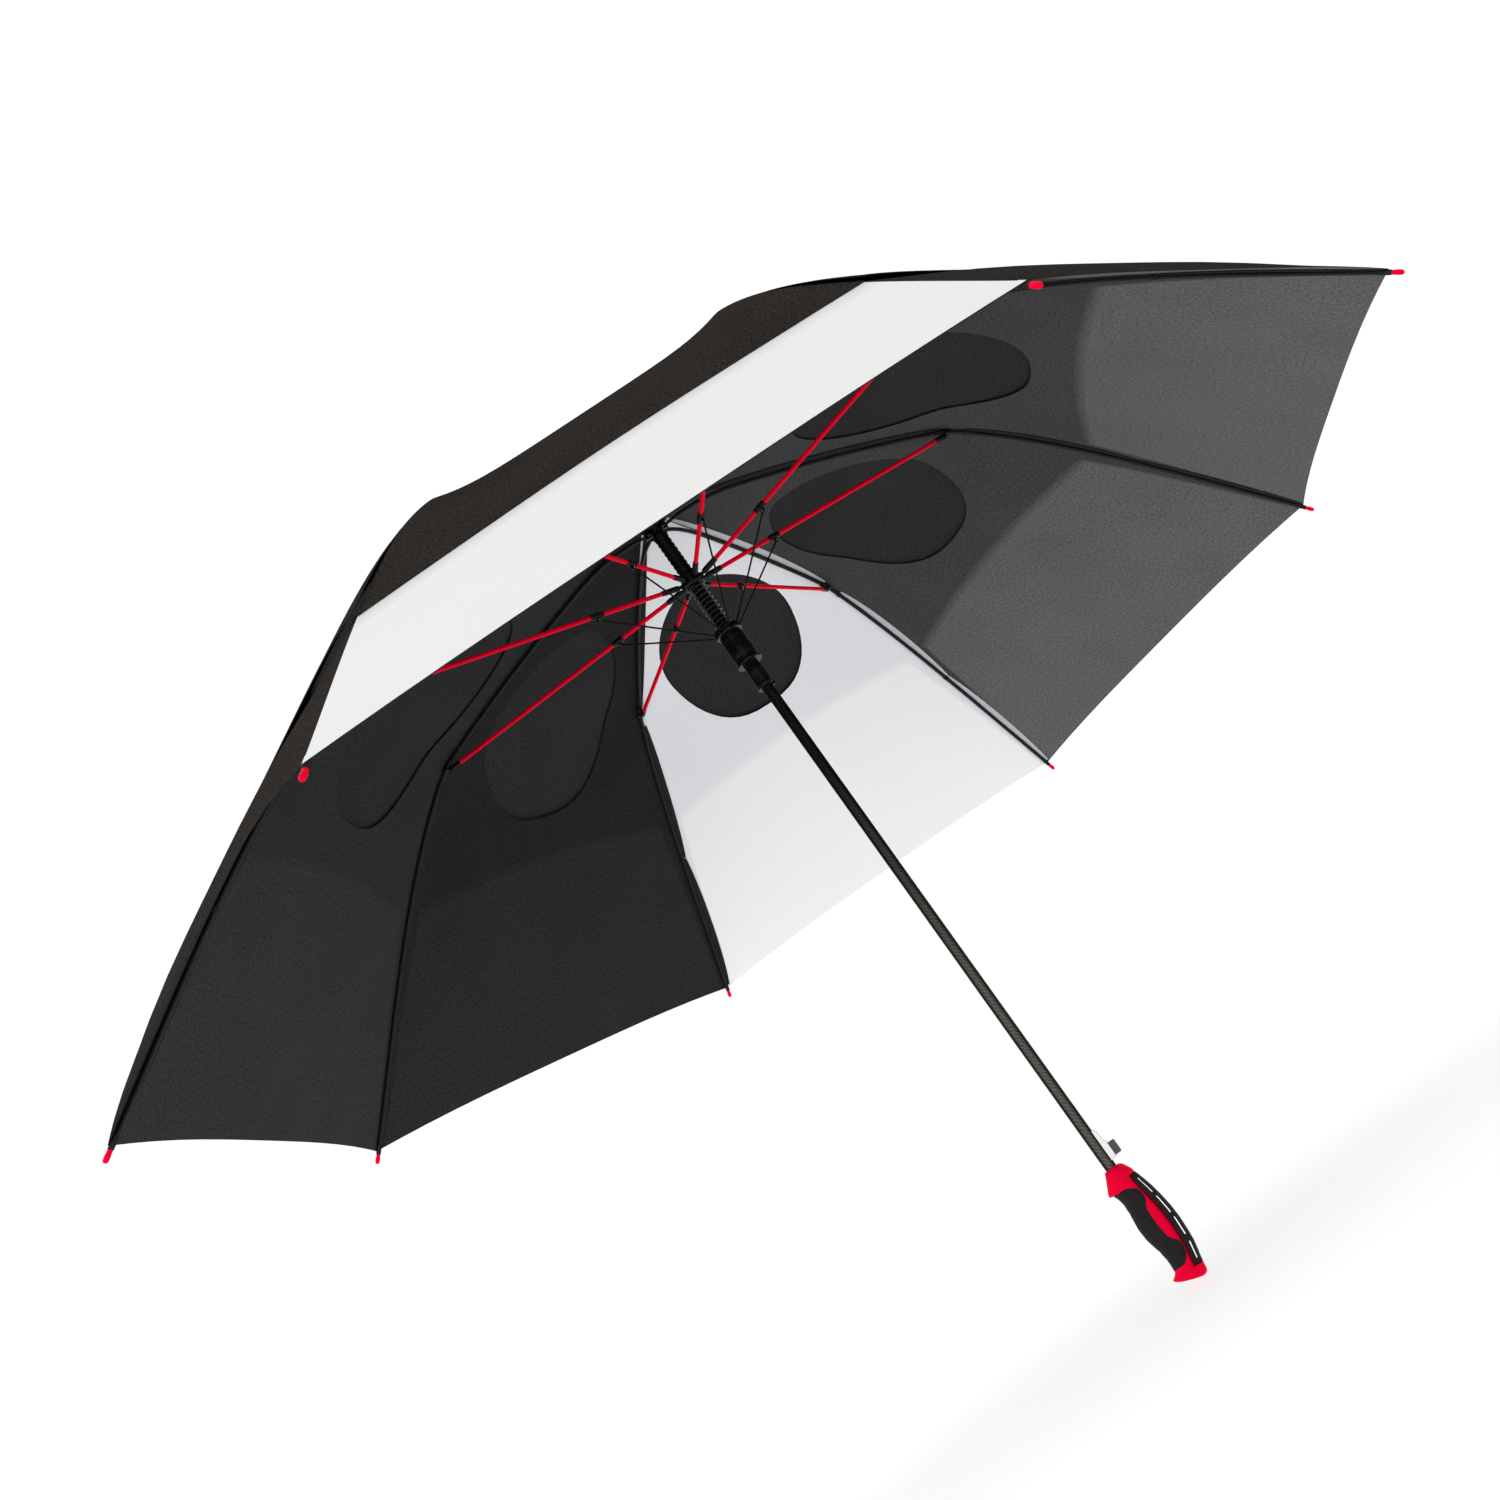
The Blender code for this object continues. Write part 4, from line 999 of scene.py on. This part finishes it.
def front_rubber():
    """Rubber round the front and sides, waisted so that the red core shows between it and the strap."""
    shape = Shape()
    points = []
    levels = [GRIP_LOW, GRIP_LOW + 0.6] + [23 + 2.2 * i for i in range(41)] + [GRIP_HIGH - 0.6, GRIP_HIGH]
    steps = 30
    for z in levels:
        end = 0.7 if z in (GRIP_LOW, GRIP_HIGH) else 0
        groove = 0.5 * swell(z, 44, 1.5) + 0.5 * swell(z, 92, 1.5)
        depth_at = smooth_between if z < 108 else between
        front = depth_at(FRONT, z) + 0.1 - end - groove
        width = between(WIDTH, z) + 0.35 - end * 0.6
        behind = between(STRAP_INNER, z)
        round_end = 1 - min(max((z - 109) / 5.5, 0), 1) ** 2 * 0.9
        reach = smooth_between(RUBBER_EDGE, z) * round_end
        past = asin(min(max(reach / behind, -0.9), 0.95))
        outer, inner = [], []
        for i in range(steps + 1):
            a = pi - past + (pi + 2 * past) * i / steps
            norm = squareness(a)
            lip = 0.35 if i in (0, steps) else 0
            depth, wall = (front, 3.0) if sin(a) < 0 else (behind, 0.6)
            outer.append(((width - lip) * cos(a) * norm, depth * sin(a) * norm, z))
            inner.append(((width - 1.5) * cos(a) * norm, (depth - wall) * sin(a) * norm, z))
        points += outer + inner[::-1]
    shape.add(points, ring_faces(len(levels), 2 * (steps + 1)), "black_rubber")
    shape.piece("front_grip_look", "frame", nodes=["front_grip"], slot="black_rubber", smooth=50)


def strap_half(half, z, end):
    """Half width of the strap, narrower over the collar and by end at its two ends."""
    return half - max(z - 110, 0) * 0.15 - end


def strap():
    """Two rails down the back with bridges between them, so that the four slots can be looked through."""
    shape = Shape()
    levels = [STRAP_LOW, STRAP_LOW + 0.6, 15.5, 17.5, 21, 24, 29, *BODY_LEVELS, 110, 113, 116, 118]
    levels += [STRAP_HIGH - 0.6, STRAP_HIGH]
    outer_rail, inner_rail = [], []
    for z in levels:
        back, inner = between(BACK, z), between(STRAP_INNER, z)
        end = 0.5 if z in (STRAP_LOW, STRAP_HIGH) else 0
        half, back = strap_half(8.0, z, end), back - end
        open_here = STRAP_SLOTS[0][0] <= z <= STRAP_SLOTS[-1][1]
        margin = (SLOT_MARGIN if open_here else 0.49) * (back - inner)
        top, low = back - margin, inner + margin
        side = [(half, top), (half, (back - 1.9 + top) / 2), (half, back - 1.8), (half * 0.85, back - 0.8)]
        side.append((half * 0.5, back - 0.2))
        across = side + [(0, back)] + [(-x, y) for x, y in side[::-1]]
        outer_rail += [(x, y, slanted(y, z)) for x, y in across]
        inner_rail += strap_corners(half, inner, low, z)
    shape.add(outer_rail, ring_faces(len(levels), 11), "black_rubber")
    shape.add(inner_rail, ring_faces(len(levels), 4), "black_rubber")
    edges = [STRAP_LOW + 0.3, *[z for pair in STRAP_SLOTS for z in pair], STRAP_HIGH - 0.3]
    for low, high in zip(edges[::2], edges[1::2]):
        bridge = []
        for z in (low, low + 0.8, (low + high) / 2, high - 0.8, high):
            back, inner = between(BACK, z), between(STRAP_INNER, z)
            half = strap_half(7.8, z, 0.5 if z in (low, high) else 0)
            margin = (SLOT_MARGIN - 0.08) * (back - inner)
            bridge += strap_corners(half, inner + margin, back - margin, z)
        shape.add(bridge, ring_faces(5, 4), "black_rubber")
    shape.piece("back_strap_look", "frame", nodes=["back_strap"], slot="black_rubber", smooth=45)


def strap_corners(half, near, far, z):
    """The four corners of a plain section across the strap."""
    return [(x, y, slanted(y, z)) for x, y in ((half, near), (half, far), (-half, far), (-half, near))]


def catch_housing():
    """Pale housing on the shaft, open towards the back where the button stands in it."""
    low, high = HOUSING_LOW, HOUSING_HIGH
    half, foot, face, floor, wall = 4.2, 5.6, 12.0, 7.2, 3.35
    shape = Shape()
    body = []
    for x, inset in ((-half, 0.5), (-half + 0.5, 0.0), (-3.3, 0.0)):
        body += [(x, foot, low + inset), (x, face - inset, low + inset), (x, face - inset, high)]
        body += [(x, 10.2 - inset, high + 1.5), (x, 9.6 - inset, 177.5), (x, 8.6 - inset, 180 - inset)]
        body.append((x, foot, 181 - inset))
    faces = ring_faces(3, 7)
    shape.add(body, faces, "pale_plastic")
    shape.add([(-x, y, z) for x, y, z in body], [tuple(reversed(f)) for f in faces], "pale_plastic")
    lips = ((low, low + 1.8, face), (high - 1.8, high, face))
    for z0, z1, depth in (*lips, (low + 1.8, high - 1.8, floor), (high, 180, 9.2)):
        box = [(wall, foot, z0), (wall, depth, z0), (-wall, depth, z0), (-wall, foot, z0)]
        shape.add(box + [(x, y, z1) for x, y, _ in box], ring_faces(2, 4), "pale_plastic")
    shape.piece("catch_housing_look", "frame", nodes=["catch_housing"], slot="pale_plastic", smooth=30)


def release_button():
    """Dark button with its edges rounded off and five thumb ridges."""
    shape = Shape()
    z0, z1 = HOUSING_LOW + 2.2, HOUSING_HIGH - 2.2
    points = []
    for y, inset in ((10.0, 0.0), (18.2, 0.0), (18.9, 0.3), (19.2, 1.0)):
        half, low, high = 3 - inset, z0 + inset, z1 - inset
        points += [(half, y, low), (half, y, high), (-half, y, high), (-half, y, low)]
    shape.add(points, ring_faces(4, 4), "grey_plastic")
    for i in range(5):
        z = z0 + 2.2 + i * 2.6
        add_rod(shape, [((-2.1, 19.15, z), 0.4), ((2.1, 19.15, z), 0.4)], "grey_plastic", 8)
    nodes = ["release_button"]
    shape.piece("release_button_look", "button", nodes=nodes, slot="dark_grey_plastic", smooth=30)


# ---- assembly
def build():
    for k in range(1, RIB_COUNT + 1):
        for outer in (False, True):
            for side in (-1, 1):
                lower_cloth(k, side, outer)
                upper_cloth(k, side, outer)
        inner_rib(k)
        outer_rib(k)
        strut(k)
        tie_wire(k)
        seam_strip(k, 36, 372, f"rib_{k}", f"seam_allowance_inner_{k}")
        seam_strip(k, TIE_RADII[0] + 1, TIE_RADII[1] - 1, f"rib_end_{k}", f"seam_allowance_middle_{k}")
        seam_strip(k, TIE_RADII[1] + 1, 742, f"rib_end_{k}", f"seam_allowance_outer_{k}")
    for make in (shaft, stop_sleeve, ferrule, crown_notch, upper_hub, lower_hub, hub_spring):
        make()
    for make in (handle_core, front_rubber, strap, catch_housing, release_button):
        make()


def camera():
    data = bpy.data.cameras.new("camera")
    data.lens = 40.44
    data.shift_x = -0.195
    data.shift_y = 0.068
    data.clip_end = 50
    obj = placed("camera", data)
    obj.location = (1.7280, 0.19014, 0.16944)
    obj.rotation_euler = Euler([radians(a) for a in (101.048, 35.706, 98.390)])
    bpy.context.scene.camera = obj


def area_light(name, place, aim, size, power):
    data = bpy.data.lights.new(name, "AREA")
    data.energy = power
    data.size = size
    obj = placed(name, data)
    obj.location = place
    obj.rotation_euler = (Vector(aim) - Vector(place)).to_track_quat("-Z", "Y").to_euler()


def pale_floor():
    """A wide floor just under the handle's butt, lifted to the white of the backdrop."""
    look = Look("floor", roughness=0.9, specular=0.0)
    look.colour(look.mix(look.noise(look.coordinates(), 3, 2), grey(0.48), grey(0.52)))
    look.shader.inputs["Emission Color"].default_value = (1, 1, 1, 1)
    look.shader.inputs["Emission Strength"].default_value = 0.6
    mesh = bpy.data.meshes.new("floor")
    reach = 14
    corners = [(-reach, -reach, 0), (reach, -reach, 0), (reach, reach, 0), (-reach, reach, 0)]
    mesh.from_pydata(corners, [], [(0, 1, 2, 3)])
    mesh.materials.append(look.material)
    floor = placed("floor", mesh)
    floor.location = (0, 0, -0.004)


def setting():
    world = bpy.data.worlds.new("studio")
    world.use_nodes = True
    background = world.node_tree.nodes["Background"]
    background.inputs[0].default_value = (1, 1, 1, 1)
    background.inputs[1].default_value = 1.05
    bpy.context.scene.world = world
    pale_floor()
    area_light("key", (2.6, -1.2, 3.2), (0.2, 0, 0.8), 1.8, 6)
    area_light("low_fill", (1.2, -1.7, 0.12), (-0.1, 0.35, 0.85), 1.6, 24)
    bpy.context.scene.view_settings.view_transform = "Standard"


build()
camera()
setting()
